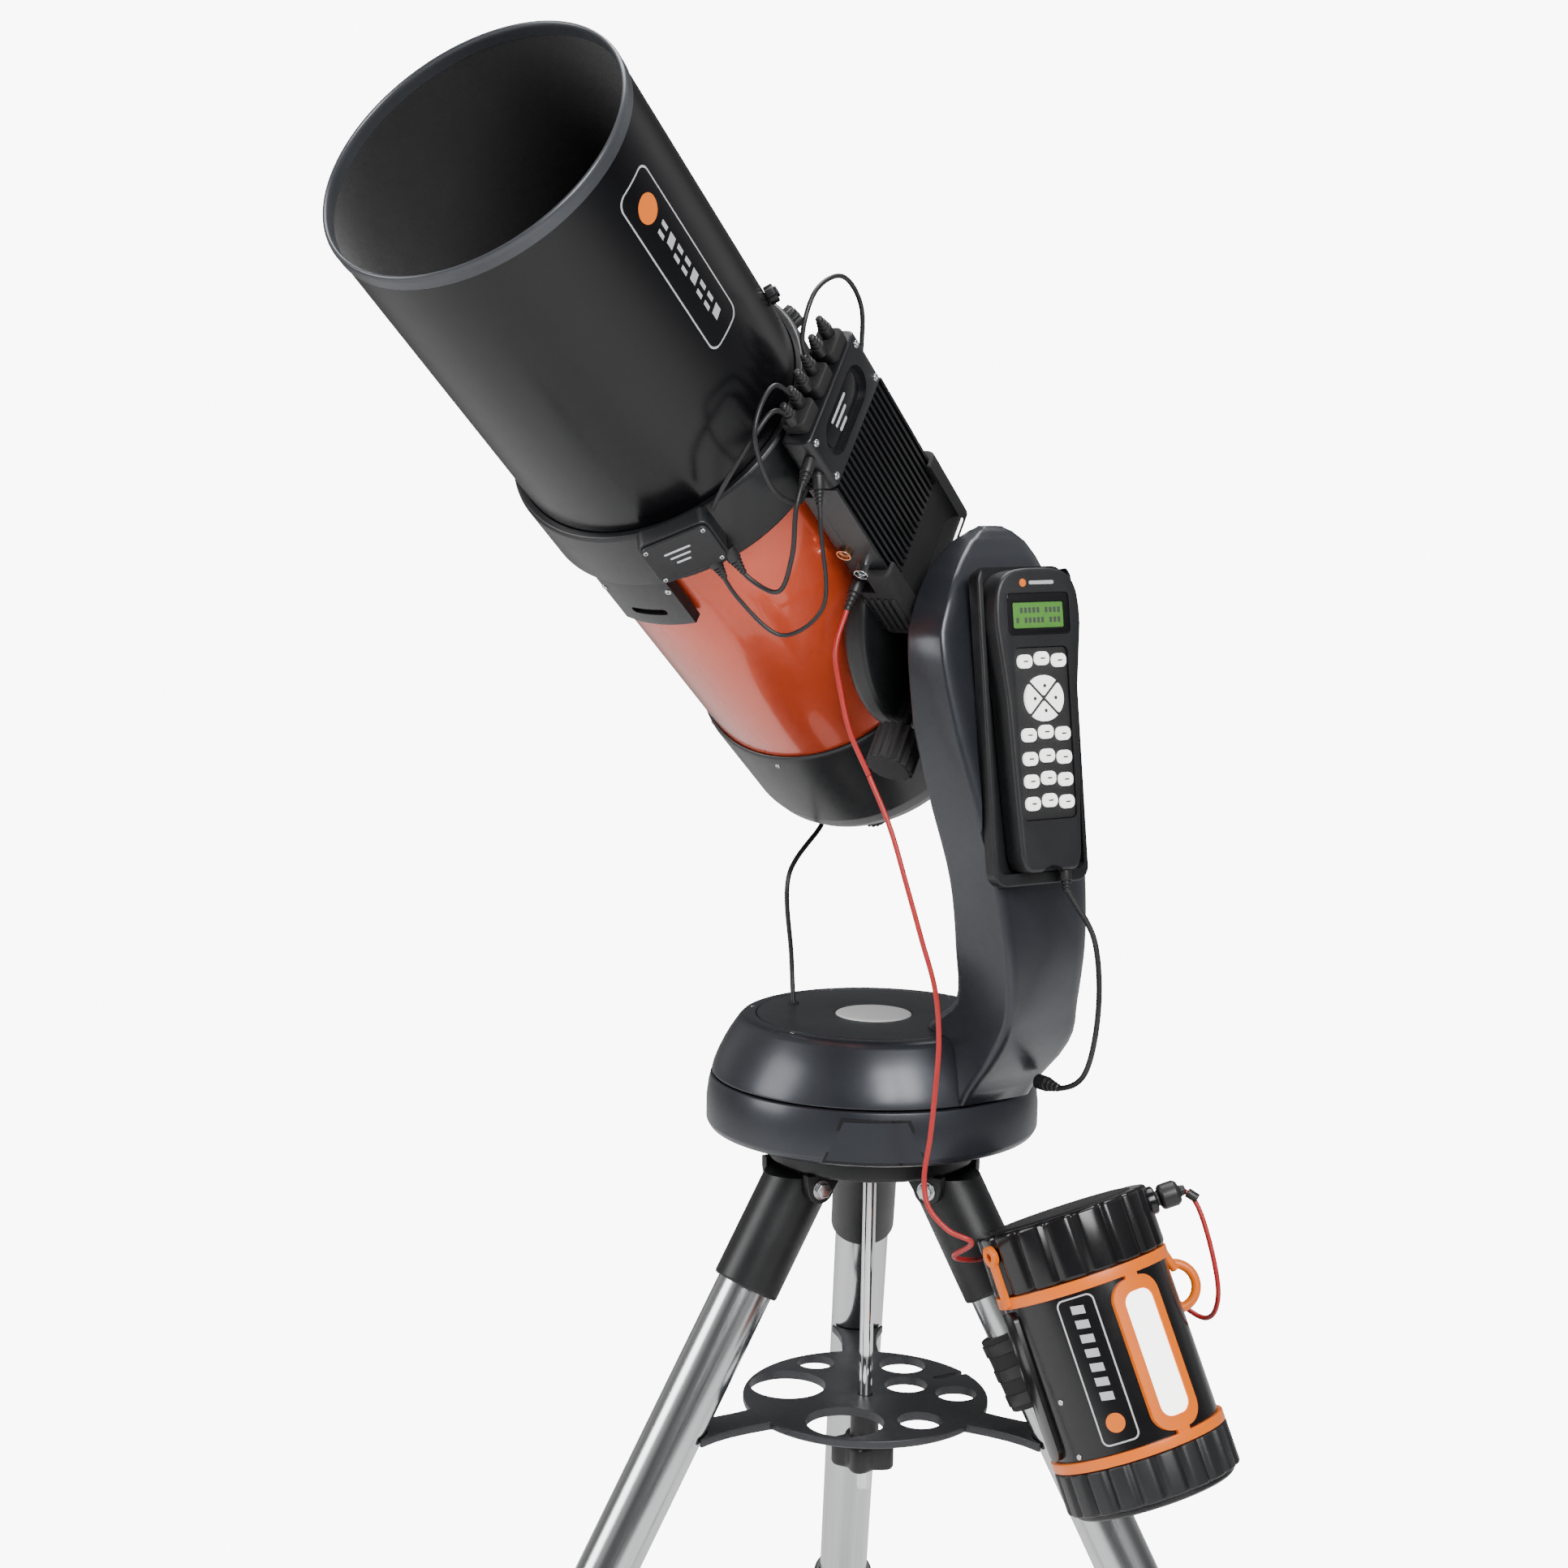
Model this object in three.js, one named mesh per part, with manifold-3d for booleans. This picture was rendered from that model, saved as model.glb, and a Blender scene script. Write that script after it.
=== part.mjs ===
// Schmidt-Cassegrain telescope on a single-arm altazimuth mount and a folding tripod.
// Millimetres, +Z up, floor at z = 0, azimuth axis on Z, the arm on +X, the tube pointing to -Y and up.
import * as THREE from 'three';
import { mergeVertices } from 'three/addons/utils/BufferGeometryUtils.js';
import Module from 'manifold-3d';

const wasm = await Module();
wasm.setup();

// Driving dimensions
const GAP = 0.3;
const SEAM_Z = 860;
const BASE_R = 144.5;
const BASE_TOP_R = 118;
const BASE_TOP_H = 52.8;
const BAND_R = 149;
const BAND_DROP = 50;
const TUBE_X = -60;
const ALT_Z = SEAM_Z + 378;
const ELEVATION = 36.76;
const TUBE_R = 116;
const SHIELD_R = 121;
const SHIELD_FRONT = 628;
const LEG_R = 25.4;
const LEG_SPLAY = 29.8;
const LEG_AZIMUTHS = [1.7, 121.7, 241.7];
const LEG_ROOT_R = 56.6;
const LEG_ROOT_Z = SEAM_Z - 54.5;
const ARM_INNER_X = 100;

const rad = THREE.MathUtils.degToRad;
const V = (x, y, z) => new THREE.Vector3(x, y, z);

// Frames: each is a matrix from local millimetres to the part frame.
const basis = (origin, x, z) => {
  const zn = z.clone().normalize();
  const yn = zn.clone().cross(x).normalize();
  const xn = yn.clone().cross(zn).normalize();
  return new THREE.Matrix4().makeBasis(xn, yn, zn).setPosition(origin);
};
const el = rad(ELEVATION);
const TUBE_DIR = V(0, -Math.cos(el), Math.sin(el));
const TUBE = basis(V(TUBE_X, 0, ALT_Z), V(1, 0, 0), TUBE_DIR);
const SEAM = new THREE.Matrix4().setPosition(0, 0, SEAM_Z);
const legFrame = (azimuth) => {
  const a = rad(azimuth);
  const t = rad(LEG_SPLAY);
  const out = V(Math.cos(a), Math.sin(a), 0);
  const down = out.clone().multiplyScalar(Math.sin(t)).add(V(0, 0, -Math.cos(t)));
  const lift = out.clone().multiplyScalar(Math.cos(t)).add(V(0, 0, Math.sin(t)));
  const root = out.clone().multiplyScalar(LEG_ROOT_R).add(V(0, 0, LEG_ROOT_Z));
  return basis(root, lift, down);
};
const CONTROL = basis(V(184, -91, SEAM_Z + 331), V(0.498, 0.867, 0.018), V(0.857, -0.495, 0.13));

// Shapes
const bare = (geometry) => {
  const g = geometry.clone();
  g.deleteAttribute('normal');
  g.deleteAttribute('uv');
  return mergeVertices(g, 1e-4);
};
const solid = (geometry) => {
  const g = bare(geometry);
  const mesh = new wasm.Mesh({
    numProp: 3,
    vertProperties: new Float32Array(g.attributes.position.array),
    triVerts: new Uint32Array(g.index.array),
  });
  return new wasm.Manifold(mesh);
};
const fromSolid = (body) => {
  const mesh = body.getMesh();
  const g = new THREE.BufferGeometry();
  g.setAttribute('position', new THREE.BufferAttribute(new Float32Array(mesh.vertProperties), 3));
  g.setIndex(new THREE.BufferAttribute(new Uint32Array(mesh.triVerts), 1));
  return g;
};
const cut = (a, ...others) => fromSolid(others.reduce((s, b) => s.subtract(solid(b)), solid(a)));
const join = (a, ...others) => fromSolid(others.reduce((s, b) => s.add(solid(b)), solid(a)));
const clip = (a, b) => fromSolid(solid(a).intersect(solid(b)));

// A turned body about local Z; the profile is [radius, height] pairs.
const lathe = (profile, segments = 28, closed = false) => {
  const points = profile.map(([r, z]) => new THREE.Vector2(r, z));
  if (closed) points.push(points[0].clone());
  const g = new THREE.LatheGeometry(points, segments);
  g.rotateX(Math.PI / 2);
  const area = points.reduce((sum, p, i) => {
    const q = points[(i + 1) % points.length];
    return sum + p.x * q.y - q.x * p.y;
  }, 0);
  return area < 0 ? flip(g) : g;
};
const flip = (g) => {
  const index = g.index.array;
  for (let i = 0; i < index.length; i += 3) {
    const keep = index[i];
    index[i] = index[i + 2];
    index[i + 2] = keep;
  }
  return g;
};
const ring = (inner, outer, z0, z1, segments = 28) =>
  lathe([[inner, z0], [outer, z0], [outer, z1], [inner, z1]], segments, true);
const disc = (r, z0, z1, segments = 28) => lathe([[0, z0], [r, z0], [r, z1], [0, z1]], segments);
const knob = (r, z0, z1, lobes, depth, steps = 4) => {
  const outline = [];
  for (let i = 0; i < lobes * steps; i += 1) {
    const a = (i / (lobes * steps)) * Math.PI * 2;
    const rr = r - depth * (0.5 - 0.5 * Math.cos(a * lobes));
    outline.push(new THREE.Vector2(rr * Math.cos(a), rr * Math.sin(a)));
  }
  return slab(outline, z0, z1);
};
const slab = (outline, z0, z1) => {
  const g = new THREE.ExtrudeGeometry(new THREE.Shape(outline), { depth: z1 - z0, bevelEnabled: false });
  return g.translate(0, 0, z0);
};
const roundRect = (w, h, r, n = 2) => {
  const pts = [];
  const corners = [[w / 2 - r, h / 2 - r, 0], [r - w / 2, h / 2 - r, 90], [r - w / 2, r - h / 2, 180], [w / 2 - r, r - h / 2, 270]];
  for (const [x, y, start] of corners) {
    for (let i = 0; i <= n; i += 1) {
      const a = rad(start + (90 * i) / n);
      pts.push(new THREE.Vector2(x + r * Math.cos(a), y + r * Math.sin(a)));
    }
  }
  return pts;
};
const plate = (w, h, r, z0, z1) => slab(roundRect(w, h, r), z0, z1);
const box = (x0, x1, y0, y1, z0, z1) =>
  new THREE.BoxGeometry(x1 - x0, y1 - y0, z1 - z0).translate((x0 + x1) / 2, (y0 + y1) / 2, (z0 + z1) / 2);
const at = (g, matrix) => g.applyMatrix4(matrix);
const atPoint = (g, origin, zAxis, xAxis = V(1, 0, 0)) => g.applyMatrix4(basis(origin, xAxis, zAxis));
// A round cord along a smooth curve.
const cord = (points, r, steps, sides = 7) => {
  const outline = [];
  for (let i = 0; i < sides; i += 1) {
    const a = (i / sides) * Math.PI * 2;
    outline.push(new THREE.Vector2(r * Math.cos(a), r * Math.sin(a)));
  }
  const path = new THREE.CatmullRomCurve3(points.map((p) => V(...p)), false, 'centripetal');
  return new THREE.ExtrudeGeometry(new THREE.Shape(outline), { steps, extrudePath: path, bevelEnabled: false });
};
// A skin over closed rings of equal count, each ring at its own height, capped at both ends.
const loft = (rings) => {
  const n = rings[0].length;
  const position = rings.flat().flatMap((p) => [p.x, p.y, p.z]);
  const index = [];
  for (let k = 0; k + 1 < rings.length; k += 1) {
    for (let i = 0; i < n; i += 1) {
      const a = k * n + i;
      const b = k * n + ((i + 1) % n);
      index.push(a, b, b + n, a, b + n, a + n);
    }
  }
  const last = (rings.length - 1) * n;
  for (let i = 1; i + 1 < n; i += 1) {
    index.push(0, i + 1, i);
    index.push(last, last + i, last + i + 1);
  }
  const g = new THREE.BufferGeometry();
  g.setAttribute('position', new THREE.Float32BufferAttribute(position, 3));
  g.setIndex(index);
  return g;
};

// Materials
const M = (color, metalness, roughness, extra = {}) =>
  new THREE.MeshStandardMaterial({ color, metalness, roughness, ...extra });
const mats = {
  armPaint: M(0x3b4048, 0.5, 0.4),
  black: M(0x16171a, 0.1, 0.5),
  rubber: M(0x101012, 0, 0.8),
  orange: M(0xd8582c, 0.5, 0.35),
  gloss: M(0x121317, 0.2, 0.2),
  steel: M(0xc2c4c6, 0.9, 0.25),
  chrome: M(0xe4e6e8, 1, 0.08),
  glass: M(0xbcd6dc, 0, 0.05, { transparent: true, opacity: 0.35 }),
  mirror: M(0xf2f4f6, 1, 0.02),
  key: M(0xf0f0ee, 0, 0.5),
  lcd: M(0x74b45c, 0, 0.3),
  red: M(0xc2342f, 0, 0.45),
  brass: M(0xb58f46, 0.9, 0.3),
  orangePlastic: M(0xf0641e, 0, 0.4),
  lens: M(0xf6f6f2, 0, 0.2),
};
const root = new THREE.Group();
root.name = 'schmidt_cassegrain_telescope';
const add = (name, geometry, material) => {
  const mesh = new THREE.Mesh(bare(geometry), material);
  mesh.name = name;
  root.add(mesh);
};

// Tripod head: a disc with a boss, a pair of lugs for each leg, and the pivot bolt across each pair
const HINGE_L = 40;
const LUG_T = 9;
const SOCKET_R = 30;
const SOCKET_END = 145;
const HINGE_R = LEG_ROOT_R + HINGE_L * Math.sin(rad(LEG_SPLAY));
const HINGE_Z = -54.5 - HINGE_L * Math.cos(rad(LEG_SPLAY));
const lugOutline = [[-20, 19], [-20, 8], [-13, -2]];
for (let i = 0; i <= 8; i += 1) {
  const a = rad(190 + 20 * i);
  lugOutline.push([13 * Math.cos(a), 13 * Math.sin(a)]);
}
lugOutline.push([14, 6], [14, 19]);
let head = lathe([[6.3, -95], [16, -95], [22, -78], [101, -78], [101, -64], [97, -61], [62, -61], [60, -52.3], [6.3, -52.3]],
  48, true);
for (const azimuth of LEG_AZIMUTHS) {
  const turn = new THREE.Matrix4().makeRotationZ(rad(azimuth));
  for (const side of [-1, 1]) {
    const middle = side * (SOCKET_R + 1.5 + LUG_T / 2);
    const lug = slab(lugOutline.map(([x, y]) => new THREE.Vector2(x, y)), -LUG_T / 2, LUG_T / 2);
    head = join(head, at(lug.rotateX(Math.PI / 2).translate(HINGE_R, middle, HINGE_Z), turn));
    const boltHead = new THREE.CylinderGeometry(8, 8, 5, 6);
    boltHead.translate(HINGE_R, side * (SOCKET_R + LUG_T + 3.5), HINGE_Z);
    head = join(head, at(boltHead, turn));
  }
  const pin = new THREE.CylinderGeometry(4, 4, 2 * (SOCKET_R + LUG_T + 2), 10).translate(HINGE_R, 0, HINGE_Z);
  head = join(head, at(pin, turn));
}
add('tripod_head', at(head, SEAM), mats.black);

// Legs: a sleeve cut level under the head, the upper tube, the clamp collar with its knob, the extension and the foot
const TUBE_START = 110;
const TUBE_END = 724;
const KNOB_L = TUBE_END + 14;
const EXTENSION = [494, 880];
const FOOT_LENGTH = (SEAM_Z - 54.5) / Math.cos(rad(LEG_SPLAY));
LEG_AZIMUTHS.forEach((azimuth, i) => {
  const n = i + 1;
  const F = legFrame(azimuth);
  const bore = new THREE.CylinderGeometry(4 + GAP, 4 + GAP, 90, 16).translate(0, 0, HINGE_L);
  const sleeve = lathe([[0, 6], [SOCKET_R, 6], [SOCKET_R, SOCKET_END - 2], [SOCKET_R - 1.5, SOCKET_END], [LEG_R + GAP, SOCKET_END],
    [LEG_R + GAP, TUBE_START - GAP], [0, TUBE_START - GAP]], 24);
  const above = box(-300, 300, -300, 300, SEAM_Z - 81.5, SEAM_Z);
  add(`leg_socket_${n}`, cut(at(cut(sleeve, bore), F), above), mats.black);
  add(`leg_tube_${n}`, at(ring(LEG_R - 1.5, LEG_R, TUBE_START, TUBE_END, 20), F), mats.steel);
  const collar = lathe([[LEG_R + GAP, TUBE_END - 28], [31, TUBE_END - 28], [32, TUBE_END - 24], [32, TUBE_END + 24],
    [29, TUBE_END + 28], [23.4 + GAP, TUBE_END + 28], [23.4 + GAP, TUBE_END + GAP], [LEG_R + GAP, TUBE_END + GAP]], 20, true);
  const boss = new THREE.CylinderGeometry(8, 8, 12, 10).rotateZ(Math.PI / 2).translate(34, 0, KNOB_L);
  const stemHole = new THREE.CylinderGeometry(3 + GAP, 3 + GAP, 30, 16).rotateZ(Math.PI / 2).translate(35, 0, KNOB_L);
  const solidCollar = join(collar, cut(boss, disc(28, TUBE_END, TUBE_END + 30, 20)));
  add(`leg_clamp_${n}`, at(cut(solidCollar, stemHole), F), mats.black);
  const grip = join(knob(15, 40.5, 56, 5, 4), disc(3, 24.2, 41, 16));
  add(`leg_lock_knob_${n}`, at(grip.rotateY(Math.PI / 2).translate(0, 0, KNOB_L), F), mats.black);
  const [top, bottom] = EXTENSION;
  add(`leg_extension_${n}`, at(lathe([[0, top], [23.4, top], [23.4, bottom], [0, bottom]], 20), F), mats.steel);
  const floorCut = box(-300, 300, -300, 300, -100, 0);
  const sole = lathe([[0, bottom + GAP], [20, bottom + GAP], [27, bottom + 10], [27, FOOT_LENGTH - 8], [20, FOOT_LENGTH + 20],
    [0, FOOT_LENGTH + 20]], 32);
  const footX = (LEG_ROOT_R + FOOT_LENGTH * Math.sin(rad(LEG_SPLAY)));
  floorCut.translate(footX * Math.cos(rad(azimuth)), footX * Math.sin(rad(azimuth)), 0);
  add(`foot_${n}`, cut(at(sole, F), floorCut), mats.rubber);
});

// Centre rod, spreader tray with three arms, and its tension knob
const TRAY_DROP = 306;
const TRAY_Z = SEAM_Z - TRAY_DROP;
const TRAY_HOLES = [[-71, -20, 35], [-79, 45, 18], [-7, 84, 22], [20, 41, 20], [69, 47, 19], [18, -69, 35], [72, -29, 20]];
const ARM_HALF = [[104, 17], [150, 17], [172, 21], [184, 25]];
add('centre_rod', lathe([[0, -392], [6, -392], [6, -96], [6, -56.5], [0, -56.5]], 24).translate(0, 0, SEAM_Z), mats.chrome);
let tray = cut(disc(112, -4, 4, 40), disc(6 + GAP, -10, 10, 24), box(77, 130, -4, 4, -10, 10).rotateZ(rad(63)));
for (const [x, y, r] of TRAY_HOLES) {
  tray = cut(tray, disc(r, -10, 10, 20).translate(x, y, 0));
}
tray.translate(0, 0, TRAY_Z);
for (const azimuth of LEG_AZIMUTHS) {
  const outline = [...ARM_HALF.map(([r, h]) => [r, -h]), ...ARM_HALF.map(([r, h]) => [r, h]).reverse()];
  const trayArm = slab(outline.map(([x, y]) => new THREE.Vector2(x, y)), -4, 4).rotateZ(rad(azimuth)).translate(0, 0, TRAY_Z);
  const cup = at(disc(LEG_R + 1.2, 200, 380, 32), legFrame(azimuth));
  tray = join(tray, cut(trayArm, cup));
}
add('spreader_tray', tray, mats.black);
const wing = cut(knob(30, -34, -12, 5, 8), disc(6 + GAP, -60, 0, 24));
add('tension_knob', wing.translate(0, 0, TRAY_Z), mats.black);

// Mount base: fixed lower band, turning dome, top cover and azimuth gear
const lower = lathe([[0, -50], [143, -50], [BAND_R, -42], [BAND_R, -20], [BASE_R + 1, -GAP], [132, -GAP], [132, -40],
  [30, -40], [30, 20], [0, 20]], 36);
add('base_lower', at(lower, SEAM), mats.armPaint);
add('azimuth_gear', at(cut(knob(62, -36, -24, 36, 3, 3), disc(30 + GAP, -60, 0, 28)), SEAM), mats.brass);
const dome = lathe([[BASE_R, GAP], [143, 8], [134, 28], [124, 44], [BASE_TOP_R, 51], [114, BASE_TOP_H], [105.5, BASE_TOP_H],
  [105.5, 47], [98, 47], [98, 40], [112, 40], [120, 36], [132, 20], [138, GAP]], 36, true);
add('base_upper', at(dome, SEAM), mats.armPaint);
const dataHole = disc(5, 40, 60, 16).translate(-81, -5, 0);
const cover = cut(disc(105.2, 47 + GAP, BASE_TOP_H, 36), dataHole);
add('battery_cover', at(cover, SEAM), mats.armPaint);
add('turntable', at(join(disc(97.4, 28.3, 46.7, 36), disc(34, 20.3, 30, 24)), SEAM), mats.black);

// Fork arm: rings of four corners [inner front, ridge, outer back, inner back] at each height
const ARM = [
  [2, [[74, -30], [128, -76], [160, 2], [84, 52]]],
  [52, [[62, -22], [166, -98], [196, 10], [70, 62]]],
  [90, [[114, -70], [188, -112], [204, 4], [100, 60]]],
  [140, [[122, -90], [192, -122], [214, -8], [120, 60]]],
  [200, [[122, -104], [184, -129], [216, -16], [118, 66]]],
  [260, [[112, -120], [172, -141], [214, -28], [106, 76]]],
  [330, [[100, -134], [154, -150], [202, -28], [100, 82]]],
  [400, [[100, -146], [140, -152], [188, -24], [100, 82]]],
  [448, [[100, -116], [136, -122], [176, -26], [100, 62]]],
  [478, [[106, -70], [130, -76], [156, -24], [106, 34]]],
  [490, [[114, -38], [126, -42], [138, -18], [114, 12]]],
];
const softRing = (corners, z, inset) => {
  const pts = [];
  const cx = corners.reduce((s, c) => s + c[0], 0) / 4;
  const cy = corners.reduce((s, c) => s + c[1], 0) / 4;
  corners.forEach((c, i) => {
    const before = corners[(i + 3) % 4];
    const after = corners[(i + 1) % 4];
    const share = [0.14, 0.1, 0.2, 0.2][i];
    for (let k = 0; k <= 3; k += 1) {
      const t = k / 3;
      const a = [c[0] + (before[0] - c[0]) * share, c[1] + (before[1] - c[1]) * share];
      const b = [c[0] + (after[0] - c[0]) * share, c[1] + (after[1] - c[1]) * share];
      const x = (1 - t) * (1 - t) * a[0] + 2 * t * (1 - t) * c[0] + t * t * b[0];
      const y = (1 - t) * (1 - t) * a[1] + 2 * t * (1 - t) * c[1] + t * t * b[1];
      pts.push(V(cx + (x - cx) * inset, cy + (y - cy) * inset, z));
    }
  });
  return pts;
};
const armRings = [];
ARM.forEach(([z, corners], i) => {
  armRings.push(softRing(corners, z, 1));
  if (i + 1 < ARM.length) {
    const [z2, next] = ARM[i + 1];
    const before = ARM[Math.max(i - 1, 0)];
    const after = ARM[Math.min(i + 2, ARM.length - 1)];
    const middle = corners.map((c, k) => [0, 1].map((j) => {
      const bulge = (c[j] + next[k][j]) * 0.5625 - (before[1][k][j] + after[1][k][j]) * 0.0625;
      return k % 3 === 0 && j === 0 ? Math.max(bulge, Math.min(c[j], next[k][j])) : bulge;
    }));
    armRings.push(softRing(middle, (z + z2) / 2, 1));
  }
});
const domeClear = lathe([[0, -60], [152, -60], [150, -20], [146, 0], [143.4, 8.3], [134.4, 28.4], [124.4, 44.4], [118.4, 51.4],
  [114, 53.4], [0, 53.4]], 36);
const shaftHole = new THREE.CylinderGeometry(27, 27, 60, 28).rotateZ(Math.PI / 2).translate(105, 0, 378);
const gearRoom = new THREE.CylinderGeometry(37, 37, 16, 28).rotateZ(Math.PI / 2).translate(127, -4, 378);
let arm = cut(loft(armRings), domeClear, shaftHole, gearRoom);
const cradleSeat = CONTROL.clone().premultiply(new THREE.Matrix4().setPosition(0, 0, -SEAM_Z));
const seat = at(plate(96, 262, 10, -1, 60), cradleSeat);
arm = cut(arm, seat);
add('fork_arm', at(arm, SEAM), mats.armPaint);

// Hand control in its cradle on the outer face of the arm; local Z faces outward, local Y points up
const cradle = cut(plate(92, 258, 10, -0.7, 14), plate(83, 262, 6, 3, 30).translate(0, 12.4, 0));
add('control_cradle', at(cradle, CONTROL), mats.black);
const outline = [[-24, -118], [24, -118], [28, -108], [34, 20], [41, 80], [38, 112], [24, 126], [-24, 126], [-38, 112],
  [-41, 80], [-34, 20], [-28, -108]].map(([x, y]) => new THREE.Vector2(x, y));
const caseBody = cut(slab(outline, 4, 30), plate(52, 24, 3, 26, 50).translate(0, 88, 0),
  plate(52, 139, 5, 25, 50).translate(0, -7, 0));
add('control_case', at(caseBody, CONTROL), mats.black);
add('control_display', at(plate(51, 23, 2.6, 26 + GAP, 29).translate(0, 88, 0), CONTROL), mats.lcd);
let mat = plate(51, 138, 4.6, 26.6, 28.6).translate(0, -7, 0);
mat = join(mat, disc(18, 28, 31.5, 24).translate(0, 21, 0));
for (const y of [53, -6, -25, -43, -61]) {
  for (const x of [-16.5, 0, 16.5]) {
    mat = join(mat, slab(roundRect(13.5, 10.5, 3.5, 1), 28, 31.5).translate(x, y - Math.abs(x) * 0.12, 0));
  }
}
add('keypad', at(mat, CONTROL), mats.key);

// Altitude hub with its shaft and gear, dovetail saddle and clamp knob; local X is toward the arm
const W = (x) => x - TUBE_X;
const hub = new THREE.Matrix4().makeRotationY(Math.PI / 2).setPosition(0, 0, ALT_Z);
const hubBody = lathe([[0, 86], [54, 86], [57, 88], [57, ARM_INNER_X - GAP], [26, ARM_INNER_X - GAP], [26, 122], [31, 122],
  [31, 132], [0, 132]], 28);
add('altitude_hub', at(hubBody, hub), mats.armPaint);
const groove = [[-26, 119], [-21.6, 132.4], [21.6, 132.4], [26, 119]].map(([n, w]) => new THREE.Vector2(w, n));
const saddle = cut(box(W(64), W(86) - GAP, -44, 44, -52, 52), slab(groove, -60, 60));
add('dovetail_saddle', at(saddle, TUBE), mats.black);
const wedge = [[-22, 120.4], [-20.5, 132], [20.5, 132], [22, 120.4]].map(([n, w]) => new THREE.Vector2(w, n));
add('dovetail_bar', at(slab(wedge, -112, 86), TUBE), mats.black);
const clampGrip = join(knob(21, -140, -104, 14, 2.4, 3), disc(5, -105, -44 - GAP, 16));
clampGrip.rotateX(-Math.PI / 2);
add('clamp_knob', at(clampGrip.translate(132, 0, 38), TUBE), mats.rubber);

// Optical tube; local Z is the optical axis toward the sky
const focusHole = disc(4 + GAP, -157, -107, 20).translate(0, -64, 0);
const cell = lathe([[24.3, -137], [100, -137], [113, -127], [120, -105], [120, 2], [118, 4], [TUBE_R + GAP, 4],
  [TUBE_R + GAP, -16], [112, -16], [112, -101], [104, -121], [96, -127], [24.3, -127]], 36, true);
add('rear_cell', at(cut(cell, focusHole), TUBE), mats.black);
add('tube', at(ring(TUBE_R - 1.6, TUBE_R, -16 + GAP, 297, 36), TUBE), mats.orange);
const frontCell = lathe([[TUBE_R + GAP, 279], [118.3, 279], [118.3, 314], [116, 316], [101, 316], [101, 310], [104.3, 310],
  [104.3, 302], [100, 302], [100, 297 + GAP], [TUBE_R + GAP, 297 + GAP]], 36, true);
add('front_cell', at(frontCell, TUBE), mats.black);
add('corrector_plate', at(ring(30.3, 104, 302 + GAP, 309.7, 36), TUBE), mats.glass);
const holder = lathe([[0, 288], [34, 288], [34, 302], [30, 302], [30, 310], [39, 310], [39, 318], [33, 324], [0, 324]], 24);
add('secondary_holder', at(holder, TUBE), mats.black);
const dish = lathe([[19.6, -104], [101, -104], [101.5, -88], [80, -93], [50, -97.5], [19.6, -99]], 32, true);
add('primary_mirror', at(dish, TUBE), mats.mirror);
const baffle = lathe([[16.5, -137], [24, -137], [24, -121], [19, -121], [19, 60], [27, 108], [25.6, 108], [17.4, 60], [16.5, -121]],
  40, true);
add('baffle_tube', at(baffle, TUBE), mats.black);
const threadRing = ring(16, 27, -177, -137 - GAP, 24);
add('visual_back', at(join(threadRing, ring(16, 31, -151, -139, 24)), TUBE), mats.black);
const focus = join(knob(17, -183, -140, 18, 1.2, 3), disc(4, -141, -111, 12));
add('focus_knob', at(focus.translate(0, -64, 0), TUBE), mats.rubber);
const shieldProfile = [[119, 300], [SHIELD_R, 300], [SHIELD_R, SHIELD_FRONT - 10], [SHIELD_R + 1, SHIELD_FRONT - 4],
  [SHIELD_R - 0.5, SHIELD_FRONT], [118, SHIELD_FRONT], [117.4, SHIELD_FRONT - 5], [119, SHIELD_FRONT - 10]];
add('dew_shield', at(lathe(shieldProfile, 40, true), TUBE), mats.gloss);
const heater = lathe([[119, 276], [126.5, 276], [128.5, 280], [128.5, 334], [126.5, 338], [SHIELD_R + GAP, 338],
  [SHIELD_R + GAP, 300 - GAP], [119, 300 - GAP]], 40, true);
const tongue = clip(ring(119, 128, 222, 285, 40), box(-34, 34, -140, -90, 222, 285).rotateZ(rad(-2)));
const slot = box(-16, 16, -140, -90, 236, 244).rotateZ(rad(-2));
add('heater_ring', at(cut(join(heater, tongue), slot), TUBE), mats.black);
const junction = cut(plate(60, 46, 8, 120, 146), disc(129.6, -60, 60, 40).rotateX(Math.PI / 2));
const boxAngle = rad(-61);
const outward = V(Math.cos(boxAngle), Math.sin(boxAngle), 0);
junction.applyMatrix4(basis(V(0, 0, 320), V(-outward.y, outward.x, 0), outward));
add('junction_box', at(junction, TUBE), mats.black);

// Finned power and dew controller beside the tube
const BOX_W = [130, 155];
const BOX_N = [-37, 75];
const fins = [[BOX_W[0], BOX_N[0]]];
const FIN_COUNT = 14;
const pitch = (BOX_N[1] - BOX_N[0]) / (FIN_COUNT - 0.5);
for (let i = 0; i < FIN_COUNT; i += 1) {
  const n0 = BOX_N[0] + i * pitch;
  fins.push([BOX_W[1], n0], [BOX_W[1], n0 + pitch * 0.5]);
  if (i + 1 < FIN_COUNT) fins.push([BOX_W[1] - 8, n0 + pitch * 0.5], [BOX_W[1] - 8, n0 + pitch]);
}
fins.push([BOX_W[0], BOX_N[1]]);
const finned = slab(fins.map(([w, n]) => new THREE.Vector2(w, n)), 158, 284);
const foot = cut(box(108, 131, -16, 16, 180, 262), disc(TUBE_R + GAP, 100, 340, 36));
const tub = box(119, 131, ...BOX_N, 158, 274);
add('controller_body', at(join(finned, tub, foot), TUBE), mats.black);
const nose = plate(26, 112, 6, 284 + GAP, 340).translate(143, 19, 0);
const recess = plate(34, 78, 15, -6, 6).applyMatrix4(basis(V(156, 19, 312), V(0, 0, 1), V(1, 0, 0)));
add('controller_nose', at(cut(nose, recess), TUBE), mats.black);
const wrap = box(119, 158.5, -45, 84, 98, 180);
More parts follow.
